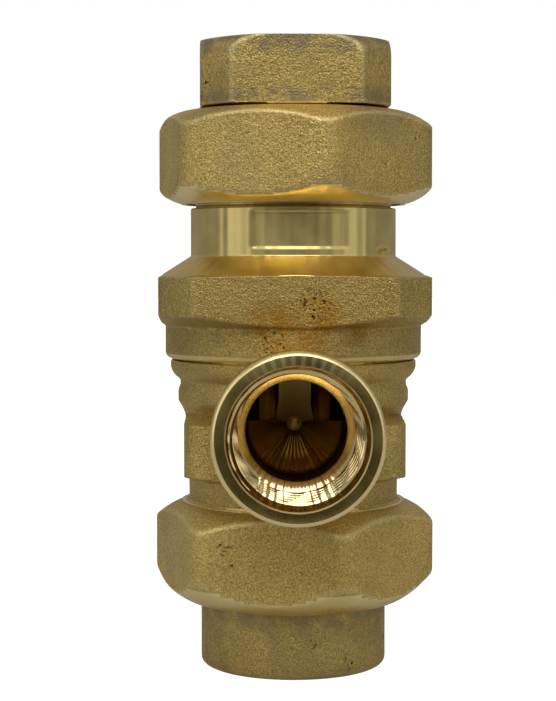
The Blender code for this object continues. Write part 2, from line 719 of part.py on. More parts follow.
def primary_check():
    """Sits inside the vent piston and rides with it."""
    seat_bottom = PISTON_TOP + GAP
    lip_bottom = seat_bottom - SEAT_LIP_HEIGHT
    guide_top = PISTON_FLOOR + GAP + 1.6
    check_seat("primary_seat", PISTON_R, PRIMARY_SEAT_BORE_R, seat_bottom, seat_bottom + 1.4, lip_bottom, None)
    plate_bottom = poppet(
        "primary", PRIMARY_SEAT_BORE_R, lip_bottom, PRIMARY_STEM_BOTTOM, PRIMARY_STEM_R
    )
    guide = spider("primary_guide", PISTON_BORE_R - GAP, PISTON_PORT_R + 0.6, PISTON_FLOOR + GAP,
                   guide_top, 3.4, PRIMARY_STEM_R + GAP, PISTON_FLOOR - 0.6)
    finish(guide, "acetal")
    finish(coil("primary_spring", 5.0, 0.25, guide_top + GAP, plate_bottom - GAP, 3), "stainless")


def secondary_check():
    """Sits in the lower neck, held up by a snap ring."""
    seat_top = LOWER_CHAMBER_TOP - GAP
    seat_bottom = seat_top - 3.5
    lip_bottom = seat_bottom - SEAT_LIP_HEIGHT
    seat_bore = FLOW_BORE_R + 0.2
    outer = LOWER_CHAMBER_R - GAP
    o_ring_height = seat_top - 1.7
    check_seat("secondary_seat", outer, seat_bore, seat_bottom, seat_top, lip_bottom, o_ring_height)
    o_ring("secondary_seat_o_ring", outer - 0.75, o_ring_height, 1.3)
    plate_bottom = poppet(
        "secondary", seat_bore, lip_bottom, SECONDARY_STEM_BOTTOM, SECONDARY_STEM_R
    )
    leg_outer = SOCKET_END_R - GAP
    wall_inner = outer - CAGE_WALL
    cage = turned("secondary_cage", [
        (outer, seat_bottom - GAP), (outer, CAGE_STEP), (leg_outer, CAGE_STEP),
        (leg_outer, CAGE_BOTTOM), (CAGE_BORE_R, CAGE_BOTTOM), (CAGE_BORE_R, CAGE_STEP + 1.6),
        (wall_inner, CAGE_STEP + 1.8), (wall_inner, seat_bottom - GAP),
    ], SIDES_SMALL)
    cross = spider("cage_spider", CAGE_BORE_R + 0.6, CAGE_BORE_R - 0.8, CAGE_BOTTOM + 0.1,
                   CAGE_SPIDER_TOP, 4.0, SECONDARY_STEM_R + GAP, CAGE_BOTTOM - 0.9)
    join(cage, cross)
    finish(cage, "acetal")
    spring_top = plate_bottom - GAP
    finish(coil("secondary_spring", 6.0, 0.35, CAGE_SPIDER_TOP + GAP, spring_top, 3), "stainless")
    ring_bottom = LOWER_GROOVE_BOTTOM + GAP
    split_ring("secondary_snap_ring", LOWER_CHAMBER_R - 1.6, LOWER_CHAMBER_R + LOWER_GROOVE_DEPTH - GAP,
               ring_bottom, LOWER_GROOVE_TOP - GAP, 5)


# Assembly

def build():
    body()
    bonnet()
    o_ring("bonnet_o_ring", SPIGOT_R - 0.6, (SPIGOT_GROOVE_BOTTOM + SPIGOT_GROOVE_TOP) / 2, 1.2)
    washer("slip_ring", DIAPHRAGM_CHAMBER_R, DIAPHRAGM_RIM_R, DIAPHRAGM_RIM_TOP + GAP,
           BONNET_SHOULDER - GAP, "machined_brass")
    diaphragm()
    vent_group()
    primary_check()
    secondary_check()
    strainer()
    washer("inlet_gasket", SOCKET_END_R + 0.4, UNION_THREAD_R - 1, BONNET_END + GAP,
           INLET_TAIL_BOTTOM - GAP, "gasket")
    inlet_tailpiece()
    snap_ring_inner = INLET_BARREL_R - SNAP_RING_DEPTH
    split_ring("inlet_snap_ring", snap_ring_inner, UNION_FLANGE_R, SNAP_RING_BOTTOM,
               SNAP_RING_BOTTOM + SNAP_RING_THICKNESS, 6)
    inlet_shoulder = SNAP_RING_BOTTOM + SNAP_RING_THICKNESS + GAP
    union_nut("inlet_nut", INLET_NUT_BOTTOM, INLET_NUT_TOP, inlet_shoulder, INLET_BARREL_R + GAP,
              INLET_NUT_TURN, 1)
    washer("outlet_gasket", SOCKET_END_R + 0.4, UNION_THREAD_R - 1, OUTLET_FLANGE_TOP + GAP,
           OUTLET_GASKET_TOP, "gasket")
    outlet_tailpiece()
    outlet_shoulder = OUTLET_FLANGE_TOP - FLANGE_THICKNESS - GAP
    union_nut("outlet_nut", OUTLET_NUT_BOTTOM, OUTLET_NUT_TOP, outlet_shoulder, OUTLET_BARREL_R + GAP,
              OUTLET_NUT_TURN, 1.6)


build()
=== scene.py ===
"""The looks of a dual check valve with an intermediate vent: cast and machined brass, built round its CAD.

Shapes are turned about the flow axis or the vent axis, as grids of rings whose radius may change with the
angle, so that flats, turned corners, threads and fillets come from one smooth surface. Lengths are in
millimetres, heights are above the outlet end, and MM turns them into the frame's metres.
"""

import json
import math

import bmesh
import bpy
import numpy as np
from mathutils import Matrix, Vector


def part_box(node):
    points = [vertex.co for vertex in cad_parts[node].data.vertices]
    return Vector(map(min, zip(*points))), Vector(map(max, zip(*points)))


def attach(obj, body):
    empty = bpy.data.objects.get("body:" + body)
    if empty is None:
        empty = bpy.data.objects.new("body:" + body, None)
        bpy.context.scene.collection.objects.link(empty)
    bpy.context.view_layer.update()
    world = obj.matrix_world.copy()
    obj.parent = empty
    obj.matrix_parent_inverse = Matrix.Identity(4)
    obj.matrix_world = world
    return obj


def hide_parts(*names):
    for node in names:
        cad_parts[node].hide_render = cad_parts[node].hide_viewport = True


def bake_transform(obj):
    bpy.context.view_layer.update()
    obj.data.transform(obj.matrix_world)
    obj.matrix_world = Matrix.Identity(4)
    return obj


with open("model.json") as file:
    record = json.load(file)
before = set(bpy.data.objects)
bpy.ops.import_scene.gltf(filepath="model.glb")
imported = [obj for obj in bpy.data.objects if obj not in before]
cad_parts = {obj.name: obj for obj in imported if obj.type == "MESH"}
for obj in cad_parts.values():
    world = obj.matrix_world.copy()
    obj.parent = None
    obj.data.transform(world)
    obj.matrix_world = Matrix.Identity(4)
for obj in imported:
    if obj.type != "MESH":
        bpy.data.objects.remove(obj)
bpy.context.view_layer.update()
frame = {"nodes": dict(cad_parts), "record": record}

MM = 0.001
BODY = "valve_body"
AXIS_Y = (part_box("bonnet")[0].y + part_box("bonnet")[1].y) / 2     # the flow axis, in metres

# Fineness of the grids
SIDES = 256
SIDES_INSIDE = 192
SIDES_SMALL = 128
PORT_SIDES = 196
PIPE_THREAD_STEP = 0.12

# Pipe and union threads
PIPE_PITCH = 1.814
PIPE_DEPTH = 0.75
UNION_PITCH = 2.0
UNION_DEPTH = 0.7
UNION_THREAD_R = 18.5
UNION_ROOT_R = UNION_THREAD_R - UNION_DEPTH

# Union nuts
NUT_BORE_R = 18.9
NUT_RELIEF = 2.4            # plain bore between the thread and the shoulder
NUT_TURNED_DROPS = (0, 0.06, 0.15, 0.3, 0.5, 0.75, 1.05, 1.4, 1.8, 2.2, 2.6, 3.0, 3.5, 4.2)

# Tailpieces
SOCKET_MOUTH_R = 13.5
SOCKET_END_R = 12.6
SOCKET_DEPTH = 14.0
SOCKET_RIM_R = 13.9
INLET_TOP = 108.0
INLET_FOOT = 96.7
INLET_BOTTOM = 91.5
INLET_BARREL_R = 16.2
OUTLET_TOP = 17.9
OUTLET_FLANGE_BOTTOM = 14.9
OUTLET_FLANGE_R = 17.9
OUTLET_BARREL_R = 16.15

# Bonnet
SKIRT_BOTTOM = 53.7
SKIRT_R = 22.3
TOP_SLOPE = [(66.0, 40.0), (67.75, 28.8), (68.1, 23.0), (71.4, 17.8), (72.0, 16.8)]     # height, radius
CONE_FOOT = 67.9
BAND_R = 17.85
BAND_TOP = 79.6
BONNET_SHOULDER = 66.4

# Body
BODY_OUTLINE = [            # height, radius, from the rim down to the neck
    (53.4, 21.4), (51.8, 21.3), (51.2, 21.0), (50.6, 20.5), (50.1, 19.85), (49.7, 19.7), (49.0, 19.75),
    (48.5, 20.0), (48.0, 20.1), (46.4, 20.1), (45.8, 19.8), (45.2, 19.4), (44.0, 18.9), (42.5, 18.6),
    (34.2, 18.5), (33.2, 18.25), (29.4, 18.2),
]
RIM_TOP = 53.4
SPIGOT_R = 19.5
FLOW_BORE_R = 7.0
LOWER_CHAMBER_R = 14.2
LOWER_CHAMBER_TOP = 33.0
TUBE_R = 10.3
TUBE_TOP = 52.0
UPPER_CHAMBER_R = 16.3
GALLERY_R = UPPER_CHAMBER_R
GALLERY_MOUTH_R = 14.6
GALLERY_FLOOR = 43.7
GALLERY_CEILING = 50.6

# Vent boss and port. A reach is a distance from the flow axis, along the vent axis.
VENT_Z = 43.05
VENT_REACH = 39.4
BOSS_R = 13.65
BOSS_NECK_R = 10.2
BOSS_ROOT_REACH = 14.0
BOSS_FILLET = 2.2
PORT_ROOT_R = 11.0          # of the thread, at the mouth
PORT_TAPER = 0.07
PORT_THREAD_END = 25.6
PORT_BORE_R = 8.3
DRILL_CONE_R = 8.1
DRILL_CONE_REACH = 13.8
DRILL_POINT_REACH = 9.35
DRILL_TIP_R = 1.3

CHATTER_WAVES = 49          # tool marks across the turned faces, in a turn


# Grids

def angles(sides):
    """Angles from the vent's direction, anticlockwise from above."""
    return np.arange(sides) * math.tau / sides


def soft_min(a, b, width):
    share = np.clip(0.5 + 0.5 * (b - a) / width, 0, 1)
    return b * (1 - share) + a * share - width * share * (1 - share)


def soft_max(a, b, width):
    return -soft_min(-a, -b, width)


def steps(first, last, step):
    """Heights from first to last, both kept, no further apart than step."""
    count = max(1, math.ceil(abs(last - first) / step))
    return [first + (last - first) * i / count for i in range(count + 1)]


def about_flow_axis(radius, angle, height):
    return radius * np.sin(angle), AXIS_Y / MM - radius * np.cos(angle), height + 0 * angle


def about_vent_axis(radius, angle, reach):
    return radius * np.sin(angle), AXIS_Y / MM - (reach + 0 * angle), VENT_Z + radius * np.cos(angle)


def placed(name, data):
    """A new object in the scene."""
    obj = bpy.data.objects.new(name, data)
    bpy.context.scene.collection.objects.link(obj)
    return obj


def solid(name, points, faces):
    """A closed, smooth mesh object from points in millimetres, facing outwards."""
    mesh = bpy.data.meshes.new(name)
    mesh.from_pydata((np.array(points) * MM).tolist(), [], faces)
    if volume_of(mesh) < 0:
        mesh.flip_normals()
    mesh.shade_smooth()
    return placed(name, mesh)


def grid(name, rows, sides=SIDES, place=about_flow_axis):
    """A closed mesh through rows of (radius, height), where either may be an array over the angles.

    Rows whose radius is 0 close the shape on the axis; otherwise the last row joins the first.
    """
    turn = angles(sides)
    points = []
    rings = []
    for radius, height in rows:
        on_axis = np.isscalar(radius) and radius == 0
        around = turn[:1] if on_axis else turn
        x, y, z = place(radius + 0 * around, around, height)
        rings.append(np.arange(len(around)) + sum(len(p) for p in points))
        points.append(np.stack([x + 0 * around, y + 0 * around, z + 0 * around], axis=1))
    points = np.concatenate(points)
    faces = []
    closed = len(rings[0]) > 1
    for first, second in zip(rings, rings[1:] + ([rings[0]] if closed else [])):
        a, b = np.resize(first, sides), np.resize(second, sides)
        a_next, b_next = np.roll(a, -1), np.roll(b, -1)
        if len(first) == 1:
            quads = np.stack([a, b, b_next], axis=1)
        elif len(second) == 1:
            quads = np.stack([a, b, a_next], axis=1)
        else:
            quads = np.stack([a, b, b_next, a_next], axis=1)
        faces += quads.tolist()
    return solid(name, points, faces)


def volume_of(mesh):
    mesh.calc_loop_triangles()
    corners = np.zeros(len(mesh.vertices) * 3)
    mesh.vertices.foreach_get("co", corners)
    corners = corners.reshape(-1, 3)
    index = np.zeros(len(mesh.loop_triangles) * 3, dtype=np.int32)
    mesh.loop_triangles.foreach_get("vertices", index)
    a, b, c = (corners[index.reshape(-1, 3)[:, i]] for i in range(3))
    return float((a * np.cross(b, c)).sum()) / 6


def triangulate(obj):
    shape = bmesh.new()
    shape.from_mesh(obj.data)
    bmesh.ops.triangulate(shape, faces=shape.faces)
    shape.to_mesh(obj.data)
    shape.free()


def combined(target, tool, operation):
    """Joins or cuts two grids for good, and removes the tool. The solver needs flat faces."""
    triangulate(target)
    triangulate(tool)
    boolean = target.modifiers.new("combine", "BOOLEAN")
    boolean.object = tool
    boolean.operation = operation
    boolean.solver = "EXACT"
    evaluated = target.evaluated_get(bpy.context.evaluated_depsgraph_get())
    mesh = bpy.data.meshes.new_from_object(evaluated)
    target.modifiers.clear()
    target.data = mesh
    bpy.data.objects.remove(tool, do_unlink=True)
    return target


# Outlines

def polygon(turn, count, flats, corner_radius, sides=SIDES):
    """Radius of a regular polygon with round corners, one of them `turn` degrees from the vent."""
    half = math.pi / count
    from_corner = (angles(sides) - math.radians(turn) + half) % (2 * half) - half
    from_flat = half - np.abs(from_corner)
    centre = (flats / 2 - corner_radius) / math.cos(half)
    side = centre * math.sin(half)
    straight = flats / 2 / np.cos(from_flat)
    round_part = centre * np.cos(from_corner) + np.sqrt(
        np.maximum(corner_radius ** 2 - (centre * np.sin(from_corner)) ** 2, 0))
    return np.where(flats / 2 * np.tan(from_flat) > side, round_part, straight)


def cut_square(turn, half_flats, half_face, edge, sides=SIDES):
    """Radius of a square with its corners cut off, its edges softened by `edge`."""
    at = angles(sides) - math.radians(turn)
    diagonal = (half_flats + half_face) / math.sqrt(2)
    square = half_flats / np.maximum(np.abs(np.cos(at)), np.abs(np.sin(at)))
    cut = diagonal / np.maximum(np.abs(np.cos(at - math.pi / 4)), np.abs(np.sin(at - math.pi / 4)))
    return soft_min(square, cut, edge)


def thread(height, pitch, depth, hand=1, sides=SIDES):
    """A helical ridge with 60 degree flanks: how far it stands above its root at each angle."""
    flank = depth / math.sqrt(3) / pitch
    half_crest = (1 - 2 * flank) / 4
    phase = (height / pitch - hand * angles(sides) / math.tau) % 1
    return depth * np.clip((half_crest + flank - np.abs(phase - 0.5)) / flank, 0, 1)


def line_through(points, at):
    """The outline through (height, radius) points, straight between them."""
    heights, radii = zip(*sorted(points))
    return float(np.interp(at, heights, radii))


def union_thread(root, first, last, outwards):
    """Rows of a union thread, whose ridge stands outwards (1) or inwards (-1) of the root's radius."""
    return [(root + outwards * thread(height, UNION_PITCH, UNION_DEPTH), height)
            for height in steps(first, last, 0.25)]


# Union nuts

def turned_corner(corner, drop):
    """Radius of a turned corner, given as (radius at the end, growth), some way from the nut's end."""
    return corner[0] + corner[1] * drop ** 0.6


def nut(name, bottom, top, shoulder, shoulder_bore, turn, top_corner, bottom_corner):
    """Hexagon nut with turned corners at both ends, a thread, and a shoulder that bears on its tailpiece."""
    hexagon = polygon(turn, count=6, flats=44.0, corner_radius=5.3)
    length = NUT_TURNED_DROPS[-1]
    heights = [top - drop for drop in NUT_TURNED_DROPS]
    heights += steps(top - length, bottom + length, 0.8)[1:-1]
    heights += [bottom + drop for drop in reversed(NUT_TURNED_DROPS)]
    rows = []
    for height in heights:
        turned = min(turned_corner(top_corner, top - height), turned_corner(bottom_corner, height - bottom))
        rows.append((soft_min(hexagon, turned + 0 * hexagon, 0.35), height))

    chamfer, start = 0.6, 1.2
    counterbore = (NUT_BORE_R + 0.2, shoulder)
    if shoulder - bottom < top - shoulder:
        rows += [(shoulder_bore + chamfer, bottom), (shoulder_bore, bottom + chamfer),
                 (shoulder_bore, shoulder), counterbore]
        rows += union_thread(NUT_BORE_R, shoulder + NUT_RELIEF, top - start, -1)
        rows.append((NUT_BORE_R + chamfer, top))
    else:
        rows.append((NUT_BORE_R + chamfer, bottom))
        rows += union_thread(NUT_BORE_R, bottom + start, shoulder - NUT_RELIEF, -1)
        rows += [counterbore, (shoulder_bore, shoulder), (shoulder_bore, top - chamfer),
                 (shoulder_bore + chamfer, top)]
    piece = grid(name, rows)

    def machined(radius, angle, height):
        """The lower turned corners and everything inside. The upper ones have dulled like the flats."""
        turned = turned_corner(bottom_corner, np.maximum(height - bottom, 0))
        flat = np.interp(angle % math.tau, np.append(angles(SIDES), math.tau), np.append(hexagon, hexagon[0]))
        return (turned < flat - 0.05) & (height < bottom + 4) | (radius < NUT_BORE_R + 0.1)

    paint(piece, machined, NUT_SKIN, NUT_LIP)
    return piece


def face_centres(mesh):
    """In millimetres, from the flow axis."""
    centres = np.zeros(len(mesh.polygons) * 3)
    mesh.polygons.foreach_get("center", centres)
    return ((centres.reshape(-1, 3) - (0, AXIS_Y, 0)) / MM).T


def paint(piece, machined, skin, turned_finish):
    """Gives a piece its cast skin, and the turned finish where the test says so."""
    mesh = piece.data
    mesh.materials.clear()
    mesh.materials.append(skin)
    mesh.materials.append(turned_finish)
    x, y, z = face_centres(mesh)
    chosen = machined(np.hypot(x, y), np.arctan2(x, -y), z)
    mesh.polygons.foreach_set("material_index", chosen.astype(np.int32))
    mesh.update()


def material_indices(mesh):
    index = np.zeros(len(mesh.polygons), dtype=np.int32)
    mesh.polygons.foreach_get("material_index", index)
    return index


def repaint(mesh, material, chosen):
    """Gives some of a mesh's faces one more material."""
    index = material_indices(mesh)
    index[chosen] = len(mesh.materials)
    mesh.materials.append(material)
    mesh.polygons.foreach_set("material_index", index)


# Tailpieces

def pipe_socket(mouth, direction, inner_end):
    """Rows of a taper pipe socket from its mouth inwards. The direction is 1 if that is upwards, or -1."""
    taper = SOCKET_MOUTH_R - SOCKET_END_R
    rows = [(SOCKET_RIM_R, mouth), (13.3, mouth + direction * 0.7)]
    for along in steps(0.9, SOCKET_DEPTH, PIPE_THREAD_STEP * 1.6):
        root = SOCKET_MOUTH_R - taper * along / SOCKET_DEPTH
        fade = min(1, (SOCKET_DEPTH - along) / 2)
        height = mouth + direction * along
        rows.append((root - fade * thread(height, PIPE_PITCH, PIPE_DEPTH), height))
    rows.append((SOCKET_END_R, inner_end))
    return rows


def inlet_tailpiece():
    """Octagonal end with turned corners, and a plain barrel with the snap ring's groove."""
    flats = cut_square(turn=1.0, half_flats=16.1, half_face=10.9, edge=0.35)
    rows = []
    for drop in (0, 0.05, 0.2, 0.5, 0.9, 1.4, 2, 2.8, 4, 6, 8, 9.6, 10.6, 11, 11.2):
        turned = 17.0 + 1.55 * drop ** 0.55
        rows.append((soft_min(flats, turned + 0 * flats, 0.5), INLET_TOP - drop))
    groove_r = INLET_BARREL_R - 1
    rows += [(16.9, INLET_FOOT), (INLET_BARREL_R, INLET_FOOT - 0.15), (INLET_BARREL_R, 93.75),
             (groove_r, 93.7), (groove_r, 92.3), (INLET_BARREL_R, 92.25),
             (INLET_BARREL_R, INLET_BOTTOM + 0.4), (INLET_BARREL_R - 0.4, INLET_BOTTOM)]
    rows += pipe_socket(INLET_TOP, -1, INLET_BOTTOM)[::-1]
    piece = grid("inlet_tailpiece_brass", rows)

    def machined(radius, angle, height):
        return (radius < SOCKET_RIM_R + 0.05) | (height < INLET_FOOT)

    paint(piece, machined, INLET_SKIN, MACHINED)
    return piece


def outlet_tailpiece():
    """Round barrel with a rounded mouth, and the flange that the nut pulls up."""
    edge = 0.3
    rows = [(OUTLET_FLANGE_R, OUTLET_TOP - edge), (OUTLET_FLANGE_R, OUTLET_FLANGE_BOTTOM + edge),
            (OUTLET_FLANGE_R - edge, OUTLET_FLANGE_BOTTOM), (16.6, OUTLET_FLANGE_BOTTOM),
            (OUTLET_BARREL_R, OUTLET_FLANGE_BOTTOM - 0.4)]
    rows += [(OUTLET_BARREL_R, height) for height in steps(14.0, 1.4, 1.0)]
    rows += [(16.1, 1.0), (15.95, 0.65), (15.6, 0.3), (15.15, 0.08), (14.75, 0)]
    rows += pipe_socket(0, 1, OUTLET_TOP)
    rows.append((OUTLET_FLANGE_R - edge, OUTLET_TOP))
    piece = grid("outlet_tailpiece_brass", rows)

    def machined(radius, angle, height):
        return (radius < SOCKET_RIM_R + 0.05) | (height > OUTLET_FLANGE_BOTTOM - 0.2)

    paint(piece, machined, OUTLET_SKIN, MACHINED)
    return piece


# Bonnet

def bonnet():
    """Skirt, wrench section, polished cone and band, and the union thread above."""
    rows = [(19.85, SKIRT_BOTTOM), (21.3, SKIRT_BOTTOM), (21.8, 53.9), (22.15, 54.25), (SKIRT_R, 54.7)]
    rows += wrench_section()
    rows += [(band_radius(height), height) for height in steps(71.75, BAND_TOP - 0.15, 0.2)]
    rows += [(BAND_R - 0.15, BAND_TOP), (BAND_R - 0.9, 79.75), (BAND_R - 0.9, 80.35), (UNION_ROOT_R, 80.5)]
    rows += union_thread(UNION_ROOT_R, 80.8, 88.4, 1)
    rows += [(18.1, 88.7), (17.6, 89.5), (12.9, 89.5), (12.9, 71.2),
             (15.5, 69.3), (15.5, BONNET_SHOULDER), (19.8, BONNET_SHOULDER),
             (19.8, 54.2)]
    piece = grid("bonnet_brass", rows)

    def machined(radius, angle, height):
        slope = np.interp(height, *zip(*TOP_SLOPE))
        on_top = (radius > slope - 0.3) & (height > CONE_FOOT + 0.05) | (height > 71)
        bored = (radius < 21.9) & (height < BONNET_SHOULDER + 0.4)
        return on_top | bored | (height < 54.5)

    paint(piece, machined, BONNET_SKIN, BAND)
    x, y, z = face_centres(piece.data)
    cone = (np.hypot(x, y) > BAND_R + 0.05) & (z > CONE_FOOT) & (z < 71.35)
    repaint(piece.data, CONE, (material_indices(piece.data) == 1) & cone)
    return piece


def wrench_section():
    """Rows up the skirt, the wrench flats and the cone. Turned cones cut the flats' corners."""
    wrench = cut_square(turn=0, half_flats=22.75, half_face=16.6, edge=0.35)
    heights = steps(55.2, 58.8, 0.9) + steps(58.8, 62.8, 0.16)[1:] + steps(62.8, 67.4, 0.5)[1:]
    heights += steps(67.4, 68.4, 0.05)[1:] + steps(68.4, 71.6, 0.16)[1:]
    rows = []
    for height in heights:
        under = 22.0 + (height - 59.4) * 3.0
        over = line_through(TOP_SLOPE, height)
        section = soft_min(soft_min(wrench, under + 0 * wrench, 0.7), over + 0 * wrench, 0.25)
        core, fillet = (SKIRT_R, 0.8) if height < 65 else (BAND_R, 0.2)
        rows.append((soft_max(section, core + 0 * wrench, fillet), height))
    return rows


def band_radius(height):
    """The band has a shallow blank panel in front and a nick at its foot."""
    sideways = np.degrees((angles(SIDES) + math.pi) % math.tau - math.pi)
    upright = np.clip((height - 72.6) / 0.3, 0, 1) * np.clip((78.9 - height) / 0.3, 0, 1)
    across = np.clip((sideways + 25) / 2, 0, 1) * np.clip((30 - sideways) / 2, 0, 1)
    nick = np.exp(-((sideways - 60) / 6.5) ** 2 - ((height - 71.95) / 0.6) ** 2)
    return BAND_R - 0.22 * upright * across - 1.1 * nick


# Body

def casting_outside():
    """The body's cast outside without its boss: spigot, rim, waist, bulge, square pads, neck and thread."""
    groove_bottom, groove_top, groove_r = 56.0, 57.8, SPIGOT_R - 1.5
    rows = [(0, 63.0), (18.7, 63.0), (SPIGOT_R, 62.2), (SPIGOT_R, groove_top),
            (groove_r, groove_top), (groove_r, groove_bottom), (SPIGOT_R, groove_bottom), (SPIGOT_R, RIM_TOP),
            (21.2, RIM_TOP), (21.4, 53.2), (21.4, 52.2), (21.3, 51.95)]
    pad = polygon(turn=45, count=4, flats=37.2, corner_radius=4.4)
    for height in steps(51.7, 29.6, 0.28):
        turned = line_through(BODY_OUTLINE, height)
        top_limit = 17.6 + (44.3 - height) * 7
        bottom_limit = 18.0 + (height - 33.0) * 4.5
        square = soft_min(soft_min(pad, top_limit + 0 * pad, 0.6), bottom_limit + 0 * pad, 0.7)
        rows.append((soft_max(square, turned + 0 * pad, 0.5), height))
    rows += [(18.2, 29.3), (18.4, 29.0), (UNION_THREAD_R, 28.7)]
    rows += union_thread(UNION_ROOT_R, 28.5, 21.6, 1)
    rows += [(17.9, 21.2), (17.7, 20.2), (0, 20.2)]
    return grid("body_brass", rows)


def boss_outside():
    """The vent boss: a turned barrel on a neck that flares into the casting with a cast fillet."""
    turn = angles(SIDES)
    rows = [(0, VENT_REACH), (12.98, VENT_REACH), (13.05, 39.38), (13.57, 38.92), (13.63, 38.8)]
    rows.append((BOSS_R, 38.3))
    rows += [(BOSS_R, reach) for reach in steps(37.5, 33.4, 0.8)]
    rows += [(13.55, 33.0), (13.3, 32.6)]
    for reach in steps(32.2, BOSS_ROOT_REACH, 0.35):
        neck = BOSS_NECK_R + max(0, reach - 23.6) * 0.345
        across = neck * np.abs(np.sin(turn))
        front = np.sqrt(np.maximum(19.4 ** 2 - across ** 2, 100))
        near = np.clip(reach - front, 0, BOSS_FILLET)
        flare = BOSS_FILLET - np.sqrt(BOSS_FILLET ** 2 - (BOSS_FILLET - near) ** 2)
        rows.append((neck + flare, reach))
    rows.append((0, BOSS_ROOT_REACH))
    return grid("boss", rows, place=about_vent_axis)


def drill_cone(reach):
    """Radius of the cone that the drill left at the end of the port's bore."""
    return DRILL_CONE_R * (reach - DRILL_POINT_REACH) / (DRILL_CONE_REACH - DRILL_POINT_REACH)


def port_cutter():
    """The vent port: mouth chamfer, taper pipe thread, bore and the drill's cone with its dimple."""
    clear = 41.0
    rows = [(0, clear), (11.8, clear), (11.8, 39.75), (11.45, VENT_REACH), (11.22, 39.15)]
    for reach in steps(38.9, PORT_THREAD_END, PIPE_THREAD_STEP):
        root = PORT_ROOT_R - (VENT_REACH - reach) * PORT_TAPER
        fade = min(1, (reach - PORT_THREAD_END) / 2.5)
        groove = root - fade * thread(reach, PIPE_PITCH, PIPE_DEPTH, -1, PORT_SIDES)
        chamfer = 11.2 - (39.1 - reach) * 0.62
        rows.append((np.maximum(groove, chamfer), reach))
    rows += [(9.3, 25.3), (PORT_BORE_R, 24.5)]
    rows += [(PORT_BORE_R, reach) for reach in steps(23.5, 14.2, 1.2)]
    rows += [(8.25, 14.0), (DRILL_CONE_R, DRILL_CONE_REACH)]
    rows += [(drill_cone(reach), reach) for reach in steps(13.5, 10.2, 0.5)]
    rows += [(DRILL_TIP_R, 10.0), (1.22, 9.6), (1.05, 9.3), (0.8, 9.08), (0.5, 8.94), (0.2, 8.88), (0, 8.86)]
    return grid("port", rows, PORT_SIDES, about_vent_axis)


def gallery_cutter():
    """The ring-shaped space round the inner tube. It stops either side of a rib behind the port."""
    clear, edge, ledge_edge = 54.5, 0.5, 0.4
    ring = grid("gallery", [
        (GALLERY_MOUTH_R, clear), (GALLERY_MOUTH_R, GALLERY_CEILING + ledge_edge),
        (GALLERY_MOUTH_R + ledge_edge, GALLERY_CEILING), (GALLERY_R - edge, GALLERY_CEILING),
        (GALLERY_R, GALLERY_CEILING - edge), (GALLERY_R, GALLERY_FLOOR + edge),
        (GALLERY_R - edge, GALLERY_FLOOR), (TUBE_R + edge, GALLERY_FLOOR), (TUBE_R, GALLERY_FLOOR + edge),
        (TUBE_R, clear),
    ], SIDES_INSIDE)
    return combined(ring, gallery_rib(GALLERY_FLOOR - 2, TUBE_TOP), "DIFFERENCE")


def gallery_rib(bottom, top):
    """An upright prism, narrow in front and flared where it meets the inner tube."""
    half = [(2.7, 17.4), (2.7, 11.7), (3.3, 11.0), (4.3, 10.5), (6.0, 10.0)]
    outline = half + [(-x, reach) for x, reach in reversed(half)]
    count = len(outline)
    points = [(x, AXIS_Y / MM - reach, z) for z in (bottom, top) for x, reach in outline]
    ends = [tuple(reversed(range(count))), tuple(range(count, 2 * count))]
    sides = [(i, (i + 1) % count, (i + 1) % count + count, i + count) for i in range(count)]
    return solid("gallery_rib", points, ends + sides)


def cavity_cutter():
    """The diaphragm's chamber, the inner tube's bore, the lower chamber and its snap ring groove."""
    clear = 64
    groove_r = LOWER_CHAMBER_R + 0.9
    rows = [(0, clear), (17.0, clear), (17.0, 60.0), (UPPER_CHAMBER_R, 59.3), (UPPER_CHAMBER_R, 53.5),
            (11.1, 53.5), (11.1, TUBE_TOP), (7.3, TUBE_TOP), (FLOW_BORE_R, 51.7),
            (FLOW_BORE_R, LOWER_CHAMBER_TOP), (LOWER_CHAMBER_R, LOWER_CHAMBER_TOP), (LOWER_CHAMBER_R, 22.3),
            (groove_r, 22.3), (groove_r, 20.9), (LOWER_CHAMBER_R, 20.9), (LOWER_CHAMBER_R, 20.7),
            (14.8, 19.2), (0, 19.2)]
    return grid("cavity", rows, SIDES_INSIDE)


def body():
    casting = combined(casting_outside(), boss_outside(), "UNION")
    for cutter in (gallery_cutter(), cavity_cutter(), port_cutter()):
        combined(casting, cutter, "DIFFERENCE")
    mesh = casting.data
    mesh.shade_smooth()
    mesh.set_sharp_from_angle(angle=math.radians(32))

    def machined(radius, angle, height):
        bored = (radius < FLOW_BORE_R + 0.2) & (height > LOWER_CHAMBER_TOP)
        return (height > RIM_TOP - 0.2) | (height < 29.2) | bored

    paint(casting, machined, BODY_SKIN, MACHINED)
    paint_port(mesh)
    return casting


